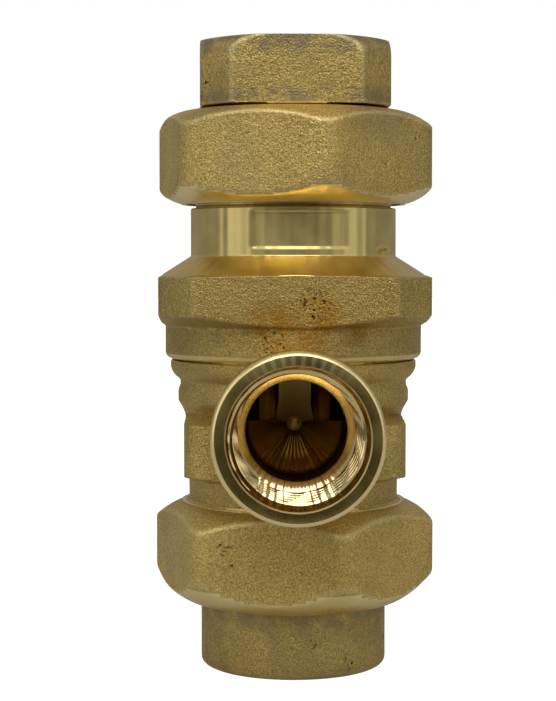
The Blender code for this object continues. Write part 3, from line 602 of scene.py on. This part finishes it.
def paint_port(mesh):
    """The materials seen in and around the vent port, with painted shade, a painted reflection, painted
    bounce light and painted highlights among them. Later ones take over from earlier ones.
    """
    x, y, z = face_centres(mesh)
    reach = -y
    across = np.hypot(x, z - VENT_Z)
    around = np.hypot(x, reach)
    gallery = (around > TUBE_R - 0.1) & (around < GALLERY_R + 0.1) & (z > GALLERY_FLOOR - 0.1) & (z < 53.3)
    cone = np.abs(across - np.maximum(drill_cone(reach), DRILL_TIP_R)) < 0.25
    bore = (np.abs(across - 8.25) < 0.12) & (reach > 13.5) & (reach < 24.6)
    thread_wall = (reach > 24) & (across < 11.38)
    edges = (reach > 38.5) & ((across > 13.0) | (across > 11.18) & (across < 11.6))
    # The gallery's walls get painted bounce light, an orange material.
    repaint(mesh, GALLERY_PAINTED_BOUNCE_LIGHT, gallery)
    # The port material paints shade into the deep bore and a reflection low on the drill's cone.
    repaint(mesh, PORT, cone & (reach > 9.9) & (reach < 14) | bore | thread_wall)
    repaint(mesh, PORT_FACE, (reach > 32.5) & (across >= 11.38))
    # The boss's outer edge and the thread's mouth edge get a painted highlight, a pale cream material.
    repaint(mesh, PORT_EDGE_PAINTED_HIGHLIGHT, edges)
    repaint(mesh, PORT_TIP, (across < 1.35) & (reach > 8.5) & (reach < 10.4))


# Inner pieces

def section_of(node):
    """The outline of a turned CAD solid, cut just off its corners, and whether it closes off the axis."""
    lean = math.radians(0.02)
    outwards = Vector((math.cos(lean), math.sin(lean), 0))
    across = Vector((-outwards.y, outwards.x, 0))
    shape = bmesh.new()
    shape.from_mesh(frame["nodes"][node].data)
    bmesh.ops.remove_doubles(shape, verts=shape.verts, dist=0.000001)
    bmesh.ops.translate(shape, vec=(0, -AXIS_Y, 0), verts=shape.verts)
    for normal in (outwards, across):
        everything = shape.verts[:] + shape.edges[:] + shape.faces[:]
        cut = bmesh.ops.bisect_plane(shape, geom=everything, dist=1e-8, plane_co=(0, 0, 0), plane_no=normal,
                                     clear_inner=normal is outwards)
    beside = {}
    for edge in cut["geom_cut"]:
        if isinstance(edge, bmesh.types.BMEdge):
            first, last = edge.verts
            beside.setdefault(first, []).append(last)
            beside.setdefault(last, []).append(first)
    ends = [v for v in beside if len(beside[v]) == 1]
    start = ends[0] if ends else next(iter(beside))
    path = [start]
    while True:
        following = [v for v in beside[path[-1]] if v not in path[-2:] and (v not in path or v is start)]
        if not following or following[0] is start:
            break
        path.append(following[0])
    points = [(v.co.dot(outwards) / MM, v.co.z / MM) for v in path]
    shape.free()
    return points, not ends


def corners_of(points, closed):
    """Leaves out the points that lie close together or on a straight stretch."""
    apart = []
    for point in points:
        if not apart or math.dist(point, apart[-1]) > 0.03:
            apart.append(point)
    if closed and math.dist(apart[0], apart[-1]) < 0.03:
        apart.pop()
    points = apart
    kept = []
    count = len(points)
    for i, (x, z) in enumerate(points):
        if not closed and i in (0, count - 1):
            kept.append((0.0 if x < 0.01 else x, z))
            continue
        before, after = points[i - 1], points[(i + 1) % count]
        ahead = Vector((after[0] - x, after[1] - z))
        back = Vector((x - before[0], z - before[1]))
        if abs(ahead.normalized().cross(back.normalized())) > 0.02:
            kept.append((x, z))
    return kept


def softened(corners, closed, edge):
    """Rounds the corners of an outline."""
    rows = []
    count = len(corners)
    for i, corner in enumerate(corners):
        if not closed and i in (0, count - 1):
            rows.append(corner)
            continue
        here = Vector(corner)
        back = Vector(corners[i - 1]) - here
        ahead = Vector(corners[(i + 1) % count]) - here
        reach = min(edge, 0.4 * back.length, 0.4 * ahead.length)
        first, last = here + back.normalized() * reach, here + ahead.normalized() * reach
        for share in (0, 0.25, 0.5, 0.75, 1):
            point = first * (1 - share) ** 2 + here * 2 * share * (1 - share) + last * share ** 2
            rows.append((point.x, point.y))
    return rows


def turned_detail(node, edge=0.15):
    """The CAD section of a turned piece, turned again smoothly and with rounded edges."""
    points, closed = section_of(node)
    return grid(node + "_detail", softened(corners_of(points, closed), closed, edge), SIDES_SMALL)


def o_ring_detail(node):
    """A rubber ring of round section, as large as its CAD solid."""
    low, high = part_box(node)
    thick = (high.z - low.z) / 2 / MM
    middle = (high.x - low.x) / 2 / MM - thick
    centre = (high.z + low.z) / 2 / MM
    count = 24
    rows = [(middle + thick * math.cos(math.tau * i / count), centre + thick * math.sin(math.tau * i / count))
            for i in range(count)]
    return grid(node + "_detail", rows, SIDES_SMALL)


def swept(name, centres, outwards, section):
    """A bar with closed ends. Its section is given as (outwards, upwards) offsets from every centre."""
    count = len(section)
    points = []
    for centre, out in zip(centres, outwards):
        for across, up in section:
            points.append((centre[0] + across * out[0], centre[1] + across * out[1], centre[2] + up))
    faces = []
    for i in range(len(centres) - 1):
        for j in range(count):
            k = (j + 1) % count
            faces.append((i * count + j, i * count + k, (i + 1) * count + k, (i + 1) * count + j))
    last = (len(centres) - 1) * count
    faces.append(tuple(reversed(range(count))))
    faces.append(tuple(range(last, last + count)))
    bar = solid(name, points, faces)
    bar.data.set_sharp_from_angle(angle=math.radians(40))
    return bar


def spring_detail(node, wire, turns):
    """A round-wire compression spring with closed ends, as long and as wide as its CAD solid."""
    low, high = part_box(node)
    radius = (high.x - low.x) / 2 / MM - wire
    bottom, top = low.z / MM + wire, high.z / MM - wire
    per_turn = 48
    end_turns = 0.8
    end_rise = 2.1 * wire * end_turns
    heights = np.interp(np.arange(turns * per_turn + 1) / per_turn,
                        [0, end_turns, turns - end_turns, turns],
                        [bottom, bottom + end_rise, top - end_rise, top])
    centres, outwards = [], []
    for i, height in enumerate(heights):
        angle = math.tau * i / per_turn
        out = (math.cos(angle), math.sin(angle))
        centres.append((radius * out[0], AXIS_Y / MM + radius * out[1], height))
        outwards.append(out)
    around = [math.tau * i / 12 for i in range(12)]
    section = [(wire * math.cos(a), wire * math.sin(a)) for a in around]
    return swept(node + "_detail", centres, outwards, section)


def snap_ring_detail(node, width, opening):
    """A flat spring ring, open at the back, with rounded edges."""
    low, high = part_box(node)
    outer = (high.x - low.x) / 2 / MM
    half_height, edge = (high.z - low.z) / 2 / MM, 0.12
    middle = outer - width / 2
    half = width / 2
    section = [(half - edge, -half_height), (half, -half_height + edge), (half, half_height - edge),
               (half - edge, half_height), (edge - half, half_height), (-half, half_height - edge),
               (-half, -half_height + edge), (edge - half, -half_height)]
    gap = opening / 2 / middle
    centres, outwards = [], []
    for angle in np.linspace(math.pi / 2 + gap, math.pi / 2 - gap + math.tau, 121):
        out = (math.cos(angle), math.sin(angle))
        centres.append((middle * out[0], AXIS_Y / MM + middle * out[1], (low.z + high.z) / 2 / MM))
        outwards.append(out)
    return swept(node + "_detail", centres, outwards, section)


def strainer_detail():
    """A cup of perforated sheet that hangs by its rim. Wall and floor have rows of round holes."""
    low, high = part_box("strainer")
    bottom, top = low.z / MM + 0.25, high.z / MM - 0.25
    rim, wall_top, foot = (high.x - low.x) / 2 / MM - 0.25, 11.5, 9.3
    columns, wall_rows, floor_rows = 36, 10, 7
    bend = 0.7
    rings = [(rim, top), (wall_top + 0.1, top), (wall_top, top - bend)]
    wall_start = len(rings) - 1
    shares = [i / wall_rows for i in range(1, wall_rows + 1)]
    rings += [(wall_top + (foot - wall_top) * share, top - bend + (bottom - top + 2 * bend) * share)
              for share in shares]
    rings.append((foot - 0.6, bottom))
    floor_start = len(rings) - 1
    rings += [(foot - 0.6 - (foot - 2.2) * i / floor_rows, bottom) for i in range(1, floor_rows + 1)]
    shape = bmesh.new()
    turn = angles(columns)
    rows = []
    for radius, height in rings:
        x, y, z = about_flow_axis(radius, turn, height)
        rows.append([shape.verts.new((x[i] * MM, y[i] * MM, z[i] * MM)) for i in range(columns)])
    middle = shape.verts.new((0, AXIS_Y, bottom * MM))
    pierced = []
    for level, (upper, lower) in enumerate(zip(rows, rows[1:])):
        for i in range(columns):
            k = (i + 1) % columns
            face = shape.faces.new((upper[i], upper[k], lower[k], lower[i]))
            on_wall = wall_start < level < wall_start + wall_rows - 1
            on_floor = floor_start < level < len(rings) - 2
            if (on_wall or on_floor) and not (on_floor and (i + level) % 2):
                pierced.append(face)
    for i in range(columns):
        shape.faces.new((rows[-1][i], rows[-1][(i + 1) % columns], middle))
    bmesh.ops.inset_individual(shape, faces=pierced, thickness=0.3 * MM)
    bmesh.ops.delete(shape, geom=pierced, context="FACES")
    mesh = bpy.data.meshes.new("strainer_detail")
    shape.to_mesh(mesh)
    shape.free()
    mesh.shade_smooth()
    obj = placed("strainer_detail", mesh)
    sheet = obj.modifiers.new("sheet", "SOLIDIFY")
    sheet.thickness = 0.4 * MM
    sheet.offset = 0
    rounding = obj.modifiers.new("rounding", "SUBSURF")
    rounding.levels = 1
    rounding.render_levels = 1
    return obj


# Materials

class NodeTree:
    """A node tree, with a short method for each kind of node that the looks are made of."""

    def __init__(self, tree):
        self.nodes = tree.nodes
        self.links = tree.links

    def put(self, value, socket):
        """Links a node's output to a socket, or sets the socket to a plain number or colour."""
        if isinstance(value, bpy.types.NodeSocket):
            self.links.new(value, socket)
        else:
            socket.default_value = (*value, 1) if socket.type == "RGBA" else value

    def node(self, kind, **values):
        """A new node, with a value in each socket that is named."""
        node = self.nodes.new("ShaderNode" + kind)
        for name, value in values.items():
            self.put(value, node.inputs[name.replace("_", " ")])
        return node

    def split(self, vector):
        return self.node("SeparateXYZ", Vector=vector).outputs

    def noise(self, where, scale, detail, dimensions="3D"):
        node = self.node("TexNoise", Scale=scale, Detail=detail)
        node.noise_dimensions = dimensions
        self.put(where, node.inputs["W" if dimensions == "1D" else "Vector"])
        return node.outputs["Fac"]

    def ramp(self, value, stops):
        """A colour for each value, from (value, colour) stops."""
        node = self.node("ValToRGB", Fac=value)
        elements = node.color_ramp.elements
        while len(elements) < len(stops):
            elements.new(0.5)
        for element, (position, colour) in zip(elements, stops):
            element.position = position
            element.color = (*colour, 1)
        return node.outputs["Color"]

    def greys(self, value, stops):
        return self.ramp(value, [(position, (grey, grey, grey)) for position, grey in stops])

    def spread(self, value, low, high, to_low=0, to_high=1):
        return self.node("MapRange", Value=value, From_Min=low, From_Max=high, To_Min=to_low,
                         To_Max=to_high).outputs["Result"]

    def mixed(self, share, first, second, blend="MIX"):
        node = self.node("Mix")
        node.data_type = "RGBA"
        node.blend_type = blend
        colours = [socket for socket in node.inputs if socket.type == "RGBA"]
        self.put(share, node.inputs[0])
        self.put(first, colours[0])
        self.put(second, colours[1])
        return [socket for socket in node.outputs if socket.type == "RGBA"][0]

    def math(self, operation, first, second=0.0):
        node = self.node("Math")
        node.operation = operation
        self.put(first, node.inputs[0])
        self.put(second, node.inputs[1])
        return node.outputs["Value"]

    def vector_math(self, operation, vector, second, output):
        node = self.node("VectorMath")
        node.operation = operation
        self.put(vector, node.inputs[0])
        self.put(second, node.inputs[1])
        return node.outputs[output]


class Look(NodeTree):
    """A material. Its place is a point's own coordinates on the object."""

    def __init__(self, name, roughness, metallic):
        self.material = bpy.data.materials.new(name)
        self.material.use_nodes = True
        super().__init__(self.material.node_tree)
        self.shader = self.nodes["Principled BSDF"]
        self.put(roughness, self.shader.inputs["Roughness"])
        self.put(metallic, self.shader.inputs["Metallic"])

    def place(self):
        return self.node("TexCoord").outputs["Object"]

    def show(self, socket, value):
        self.put(value, self.shader.inputs[socket])

    def bump(self, height, distance, below=None):
        node = self.node("Bump", Height=height, Distance=distance, Strength=1.0)
        if below:
            self.put(below, node.inputs["Normal"])
        self.show("Normal", node.outputs["Normal"])
        return node.outputs["Normal"]

    def near_any(self, place, balls):
        """1 near the middle of any of some (x, y, z, radius) balls, placed from the flow axis, 0 outside."""
        share = 0.0
        for x, y, z, radius in balls:
            gap = self.vector_math("DISTANCE", place, (x * MM, AXIS_Y + y * MM, z * MM), "Value")
            near = self.spread(gap, radius * MM, 0.4 * radius * MM)
            share = self.math("MAXIMUM", near, share)
        return share

    def turned_place(self, about_vent):
        """A point's turn about an axis, radius, sine of its height above the axis, and way along it."""
        centre, tilt = (0, AXIS_Y, 0), (0, 0, math.radians(-90))
        if about_vent:
            centre, tilt = (0, AXIS_Y, VENT_Z * MM), (math.radians(90), 0, 0)
        mapping = self.node("Mapping", Vector=self.place(), Location=centre, Rotation=tilt)
        mapping.vector_type = "TEXTURE"
        turned = mapping.outputs["Vector"]
        gradient = self.node("TexGradient", Vector=turned)
        gradient.gradient_type = "RADIAL"
        across = self.vector_math("MULTIPLY", turned, (1, 1, 0), "Vector")
        radius = self.vector_math("LENGTH", across, (0, 0, 0), "Value")
        height = self.math("DIVIDE", self.split(turned)["Y"], radius)
        return gradient.outputs["Fac"], radius, height, self.split(turned)["Z"]

    def chatter(self, turn):
        """Tool marks across a turned face, stronger here and weaker there."""
        wave = self.math("SINE", self.math("MULTIPLY", turn, math.tau * CHATTER_WAVES))
        return self.math("MULTIPLY", wave, self.noise(turn, 40, 1, "1D"))


def cast_brass(name, tone, stains=None, wear=0.75, clusters=(), painted_shade_balls=()):
    """Shot-blasted forging skin: khaki gold with a fine grain, grey-brown stains and small dark pits.

    Stains are (height, share) points that say where the grey-brown film is thick. Clusters are balls with
    a crowd of pits in each, and the balls of the last argument are painted shade that darkens the skin
    orange-brown.
    """
    look = Look(name, 0.5, 1.0)
    place = look.place()
    grain = look.noise(place, 3900, 3)
    coarse = look.noise(place, 1300, 2)
    dull, fresh, film = (tuple(tone * c for c in colour) for colour in (
        (0.66, 0.48, 0.15), (0.80, 0.58, 0.19), (0.42, 0.33, 0.16)))
    base = look.ramp(look.noise(place, 110, 4), [(0.3, dull), (0.7, fresh)])
    skin = look.mixed(1.0, base, look.ramp(grain, [
        (0.3, (0.52, 0.5, 0.46)), (0.5, (0.96, 0.96, 0.96)), (0.72, (1.46, 1.48, 1.56))]), "MULTIPLY")
    share = look.spread(look.noise(place, 60, 5), 0.52, 0.72, 0.0, 0.5)
    if stains:
        first, last = stains[0][0], stains[-1][0]
        level = look.spread(look.split(place)["Z"], first * MM, last * MM)
        thick = look.greys(level, [((height - first) / (last - first), grey) for height, grey in stains])
        ragged = look.greys(look.noise(place, 330, 4), [(0.35, 0.1), (0.6, 1.2)])
        share = look.math("MAXIMUM", share, look.mixed(1.0, thick, ragged, "MULTIPLY"))
    skin = look.mixed(share, skin, film)
    # Painted shade: orange-brown darkening in patches within the given balls.
    if painted_shade_balls:
        brown = look.mixed(1.0, skin, (0.86, 0.64, 0.32), "MULTIPLY")
        patchy = look.spread(look.noise(place, 260, 4), 0.36, 0.56, 0.15, 1)
        skin = look.mixed(look.math("MULTIPLY", look.near_any(place, painted_shade_balls), patchy), skin, brown)
    crowded = look.spread(look.noise(place, 150, 2), 0.66, 0.72)
    if clusters:
        crowded = look.math("MAXIMUM", crowded, look.near_any(place, clusters))
    pits = look.math("MULTIPLY", crowded, look.spread(look.noise(place, 1700, 1), 0.58, 0.66))
    skin = look.mixed(pits, skin, (0.03, 0.02, 0.008))
    if wear:
        edge = look.spread(look.node("NewGeometry").outputs["Pointiness"], 0.515, 0.56, 0, wear)
        skin = look.mixed(edge, skin, (0.95, 0.8, 0.42))
    look.show("Base Color", skin)
    look.show("Roughness", look.spread(coarse, 0.3, 0.7, 0.44, 0.6))
    first = look.bump(grain, 0.13 * MM)
    second = look.bump(coarse, 0.13 * MM, first)
    look.bump(pits, -0.2 * MM, second)
    return look.material


def machined_brass(name, dark, light, roughness, chatter_depth=0.0, about_vent=False):
    """Turned brass with fine tool rings round its axis and a little chatter across them."""
    look = Look(name, roughness, 1.0)
    turn, radius, _, along = look.turned_place(about_vent)
    cloud = look.noise(look.place(), 140, 4)
    look.show("Base Color", look.ramp(cloud, [(0.35, dark), (0.65, light)]))
    look.show("Roughness", look.spread(cloud, 0.3, 0.7, roughness - 0.05, roughness + 0.07))
    rings = look.bump(look.noise(look.math("ADD", radius, along), 9000, 2, "1D"), 0.01 * MM)
    if chatter_depth:
        look.bump(look.chatter(turn), chatter_depth * MM, rings)
    return look.material


def port_brass():
    """Bright thread wall with chatter low down, a bore darkened by painted shade, a painted reflection in
    pale lines low on the drill's cone, and a dull rib.
    """
    look = Look("machined_port", 0.2, 1.0)
    turn, radius, height, reach = look.turned_place(True)
    chatter = look.chatter(turn)
    deep = look.spread(reach, 25.2 * MM, 23.6 * MM)
    upper = look.spread(height, 0.1, 0.3)
    cloud = look.noise(look.place(), 140, 4)
    wall = look.ramp(cloud, [(0.35, (0.78, 0.58, 0.26)), (0.65, (0.95, 0.75, 0.38))])
    # Painted shade: the deep bore's dark colour stands for the shade inside it.
    bore = look.ramp(cloud, [(0.35, (0.17, 0.085, 0.022)), (0.65, (0.28, 0.15, 0.045))])
    rib = look.ramp(cloud, [(0.35, (0.5, 0.44, 0.2)), (0.65, (0.64, 0.56, 0.27))])
    # Painted reflection: pale lines low on the drill's cone, in a ring round its tip, where the chatter
    # stands high.
    reflection_sector = look.spread(height, -0.88, -0.93)
    inner, outer = look.spread(radius, 1.9 * MM, 2.6 * MM), look.spread(radius, 6.1 * MM, 5.0 * MM)
    ring = look.math("MULTIPLY", inner, outer)
    painted_reflection = look.math("MULTIPLY", look.math("MULTIPLY", reflection_sector, ring), look.spread(chatter, 0.02, 0.25))
    deep_with_painted_shade_and_reflection = look.mixed(painted_reflection, look.mixed(upper, bore, rib), (1.0, 0.85, 0.5))
    look.show("Base Color", look.mixed(deep, wall, deep_with_painted_shade_and_reflection))
    rough = look.mixed(upper, (0.26, 0.26, 0.26), (0.5, 0.5, 0.5))
    look.show("Roughness", look.mixed(deep, (0.15, 0.15, 0.15), rough))
    look.bump(look.math("MULTIPLY", chatter, look.spread(height, -0.6, -0.85)), 0.06 * MM)
    return look.material


def port_face():
    """The boss's end face: dull, with pale tool marks at its top."""
    look = Look("machined_port_face", 0.3, 1.0)
    turn, radius, height, _ = look.turned_place(True)
    marks = look.math("MULTIPLY", look.spread(look.chatter(turn), -0.1, 0.3), look.spread(height, 0.72, 0.95))
    cloud = look.noise(look.place(), 180, 4)
    base = look.ramp(cloud, [(0.35, (0.42, 0.31, 0.085)), (0.65, (0.56, 0.42, 0.13))])
    look.show("Base Color", look.mixed(marks, base, (0.85, 0.7, 0.36)))
    look.show("Roughness", look.spread(cloud, 0.3, 0.7, 0.22, 0.34))
    look.bump(look.noise(radius, 9000, 2, "1D"), 0.012 * MM)
    return look.material


def steel():
    look = Look("stainless_steel", 0.3, 1.0)
    place = look.place()
    cloud = look.noise(place, 400, 3)
    look.show("Base Color", look.ramp(cloud, [(0.3, (0.5, 0.5, 0.48)), (0.7, (0.66, 0.66, 0.64))]))
    fine = look.noise(place, 3000, 2)
    look.show("Roughness", look.spread(fine, 0.3, 0.7, 0.22, 0.4))
    look.bump(fine, 0.02 * MM)
    return look.material


def soft_material(name, dark, light, roughness, grain_scale, grain_depth):
    """Rubber, gasket sheet or plastic, with a fine moulded grain."""
    look = Look(name, roughness, 0.0)
    grain = look.noise(look.place(), grain_scale, 4)
    look.show("Base Color", look.ramp(grain, [(0.3, dark), (0.7, light)]))
    look.show("Roughness", look.spread(grain, 0.3, 0.7, roughness - 0.08, roughness + 0.08))
    look.bump(grain, grain_depth * MM)
    return look.material


NUT_SKIN = cast_brass("cast_nut", 0.96)
INLET_SKIN = cast_brass("cast_inlet", 0.86, stains=[
    (96.7, 0.95), (98.6, 0.8), (100.2, 0.1), (104.2, 0.1), (105.6, 0.8), (108.0, 0.9)])
OUTLET_SKIN = cast_brass("cast_outlet", 0.82, stains=[(0.0, 0.5), (4.0, 0.2), (8.0, 0.5), (12.0, 0.9)])
# The bonnet's balls of painted shade sit at the foot of its wrench flats in front and on the skirt below
# them.
BONNET_SKIN = cast_brass(
    "cast_bonnet", 0.78, wear=0.3,
    clusters=[(3.0, -22.0, 63.0, 3.6), (-3.7, -21.8, 56.8, 3.2), (18.6, -17.0, 67.0, 3.0)],
    painted_shade_balls=[(-4.0, -22.0, 59.6, 5.5), (3.0, -22.0, 60.2, 6.5), (9.0, -20.0, 59.6, 4.0),
              (1.0, -22.0, 54.0, 5.0)])
BODY_SKIN = cast_brass("cast_body", 0.83, wear=0)
MACHINED = machined_brass("machined_brass", (0.66, 0.47, 0.14), (0.76, 0.56, 0.19), 0.26, 0.03)
BAND = machined_brass("machined_band", (0.74, 0.57, 0.21), (0.86, 0.69, 0.28), 0.36, 0.05)
PORT = port_brass()
PORT_FACE = port_face()
# Painted highlight: a pale cream base that stands for the light caught along the port's edges.
PORT_EDGE_PAINTED_HIGHLIGHT = machined_brass("port_edge_painted_highlight", (0.95, 0.75, 0.34), (1.0, 0.82, 0.42), 0.34, about_vent=True)
PORT_TIP = machined_brass("machined_port_tip", (0.6, 0.45, 0.18), (0.75, 0.58, 0.26), 0.25, about_vent=True)
CONE = machined_brass("machined_cone", (0.74, 0.5, 0.13), (0.84, 0.6, 0.19), 0.3, 0.06)
NUT_LIP = machined_brass("machined_nut_lip", (0.95, 0.74, 0.3), (1.0, 0.84, 0.42), 0.3, 0.04)
# Painted bounce light: an orange base that stands for the light bounced onto the gallery's walls inside the
# port.
GALLERY_PAINTED_BOUNCE_LIGHT = machined_brass("gallery_painted_bounce_light", (0.8, 0.42, 0.1), (0.9, 0.52, 0.14), 0.35)
LOOKS = {
    "cast_brass": BODY_SKIN,
    "machined_brass": MACHINED,
    "stainless": steel(),
    "rubber": soft_material("black_rubber", (0.012, 0.012, 0.012), (0.03, 0.03, 0.028), 0.6, 1200, 0.03),
    "gasket": soft_material("fibre_gasket", (0.10, 0.05, 0.03), (0.2, 0.11, 0.07), 0.8, 1800, 0.06),
    "acetal": soft_material("acetal", (0.62, 0.61, 0.57), (0.75, 0.74, 0.70), 0.4, 900, 0.01),
}


# Stage

def camera():
    """At the height of the bonnet's cone, a little to the left of the vent's direction."""
    data = bpy.data.cameras.new("camera")
    data.sensor_width = 36.0
    data.lens = 92.44
    data.clip_start = 0.01
    data.clip_end = 20
    obj = placed("camera", data)
    distance = 0.315
    side = math.radians(1.2)
    obj.location = (-distance * math.sin(side), AXIS_Y - distance * math.cos(side), 0.0707)
    heading = side - math.radians(0.484)
    pitch = math.radians(-2.878)
    look = Vector((math.sin(heading) * math.cos(pitch), math.cos(heading) * math.cos(pitch), math.sin(pitch)))
    obj.rotation_mode = "QUATERNION"
    obj.rotation_quaternion = look.to_track_quat("-Z", "Y")
    bpy.context.scene.camera = obj


def softbox(name, azimuth, elevation, distance, width, height, power):
    """A rectangular lamp that faces the valve. Azimuth 0 is in front of the vent, 90 on its right."""
    data = bpy.data.lights.new(name, "AREA")
    data.shape = "RECTANGLE"
    data.size = width
    data.size_y = height
    data.energy = power
    a, e = math.radians(azimuth), math.radians(elevation)
    away = Vector((math.sin(a) * math.cos(e), -math.cos(a) * math.cos(e), math.sin(e)))
    obj = placed(name, data)
    obj.location = Vector((0, AXIS_Y, 0.055)) + away * distance
    obj.rotation_mode = "QUATERNION"
    obj.rotation_quaternion = away.to_track_quat("Z", "Y")


def floor():
    """A white floor to the eye. It stops in front of the valve, so that the vent doesn't mirror it."""
    half, front = 3.0, -0.1
    mesh = bpy.data.meshes.new("floor")
    corners = [(-half, front, 0), (half, front, 0), (half, half, 0), (-half, half, 0)]
    mesh.from_pydata(corners, [], [(0, 1, 2, 3)])
    look = Look("floor", 0.8, 0.0)
    look.show("Base Color", (0.6, 0.6, 0.6))
    look.show("Specular IOR Level", 0.0)
    look.show("Emission Color", (1.0, 1.0, 1.0))
    look.show("Emission Strength", look.node("LightPath").outputs["Is Camera Ray"])
    mesh.materials.append(look.material)
    placed("floor", mesh)


def surroundings():
    """White walls to the eye. As light they are grey, darkest in front and below."""
    world = bpy.data.worlds.new("studio")
    world.use_nodes = True
    tree = NodeTree(world.node_tree)
    background = tree.nodes["Background"]
    direction = tree.split(tree.node("TexCoord").outputs["Generated"])
    front = tree.greys(tree.spread(direction["Y"], -1, 1),
                       [(0.0, 0.07), (0.012, 0.12), (0.05, 0.25), (0.2, 0.29), (0.45, 0.14), (0.9, 0.28)])
    height = tree.greys(tree.spread(direction["Z"], -1, 1), [(0.42, 0.4), (0.52, 1), (1.0, 1.5)])
    tone = tree.mixed(1.0, front, height, "MULTIPLY")
    seen = tree.node("LightPath").outputs["Is Camera Ray"]
    tree.put(tree.mixed(seen, tone, (1.0, 1.0, 1.0)), background.inputs["Color"])
    tree.put(1.0, background.inputs["Strength"])
    bpy.context.scene.world = world


def studio():
    softbox("left_softbox", -66, 18, 0.6, 0.28, 0.6, 0.42)
    softbox("right_softbox", 64, 18, 0.6, 0.24, 0.6, 0.3)
    softbox("top_softbox", 0, 50, 0.7, 0.6, 0.45, 2.5)
    floor()
    surroundings()
    bpy.context.scene.view_settings.view_transform = "Standard"


def slot_of(node):
    return next(part["material_slot"] for part in frame["record"]["subparts"] if part["node"] == node)


def stands_for(piece, node, body):
    """Hides the CAD node that a piece stands for, and parents the piece to the body that it rides."""
    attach(piece, body)
    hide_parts(node)


def finish(piece, node):
    """Gives a piece the material of the node that it stands for."""
    piece.data.materials.clear()
    piece.data.materials.append(LOOKS[slot_of(node)])


def stretches(piece, node):
    """A spring or diaphragm: gives it its material, hides its CAD node and bakes its placing into its mesh.
    Nothing here ties its ends to the bodies.
    """
    finish(piece, node)
    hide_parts(node)
    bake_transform(piece)


# Assembly

camera()
studio()

for node, obj in frame["nodes"].items():
    finish(obj, node)

inlet_nut = nut("inlet_nut_brass", bottom=80.3, top=96.25, shoulder=93.7, shoulder_bore=16.5, turn=11.8,
                top_corner=(18.6, 3.2), bottom_corner=(18.6, 3.2))
outlet_nut = nut("outlet_nut_brass", bottom=11.4, top=28.9, shoulder=14.6, shoulder_bore=16.45, turn=18.3,
                 top_corner=(18.2, 3.1), bottom_corner=(17.3, 2.7))
stands_for(inlet_nut, "inlet_nut", "inlet_nut_body")
stands_for(outlet_nut, "outlet_nut", "outlet_nut_body")
stands_for(inlet_tailpiece(), "inlet_tailpiece", BODY)
stands_for(outlet_tailpiece(), "outlet_tailpiece", BODY)
stands_for(bonnet(), "bonnet", BODY)
stands_for(body(), "body", BODY)

TURNED_INSIDE = {
    BODY: ["slip_ring", "secondary_seat", "vent_seat", "spring_washer", "inlet_gasket", "outlet_gasket"],
    "vent_piston_group": ["vent_piston", "diaphragm_clamp", "vent_seal", "primary_seat"],
    "primary_poppet": ["primary_disc", "primary_disc_holder", "primary_screw"],
    "secondary_poppet": ["secondary_disc", "secondary_disc_holder", "secondary_screw"],
}
for body_name, nodes_inside in TURNED_INSIDE.items():
    for node in nodes_inside:
        piece = turned_detail(node)
        finish(piece, node)
        stands_for(piece, node, body_name)

for piece, node in (
    (o_ring_detail("bonnet_o_ring"), "bonnet_o_ring"),
    (o_ring_detail("secondary_seat_o_ring"), "secondary_seat_o_ring"),
    (snap_ring_detail("inlet_snap_ring", 2.7, 6), "inlet_snap_ring"),
    (snap_ring_detail("secondary_snap_ring", 2.2, 5), "secondary_snap_ring"),
    (strainer_detail(), "strainer"),
):
    finish(piece, node)
    stands_for(piece, node, BODY)

stretches(spring_detail("vent_spring", 0.4, 4), "vent_spring")
stretches(spring_detail("primary_spring", 0.25, 3), "primary_spring")
stretches(spring_detail("secondary_spring", 0.35, 3), "secondary_spring")
stretches(turned_detail("diaphragm", 0.5), "diaphragm")
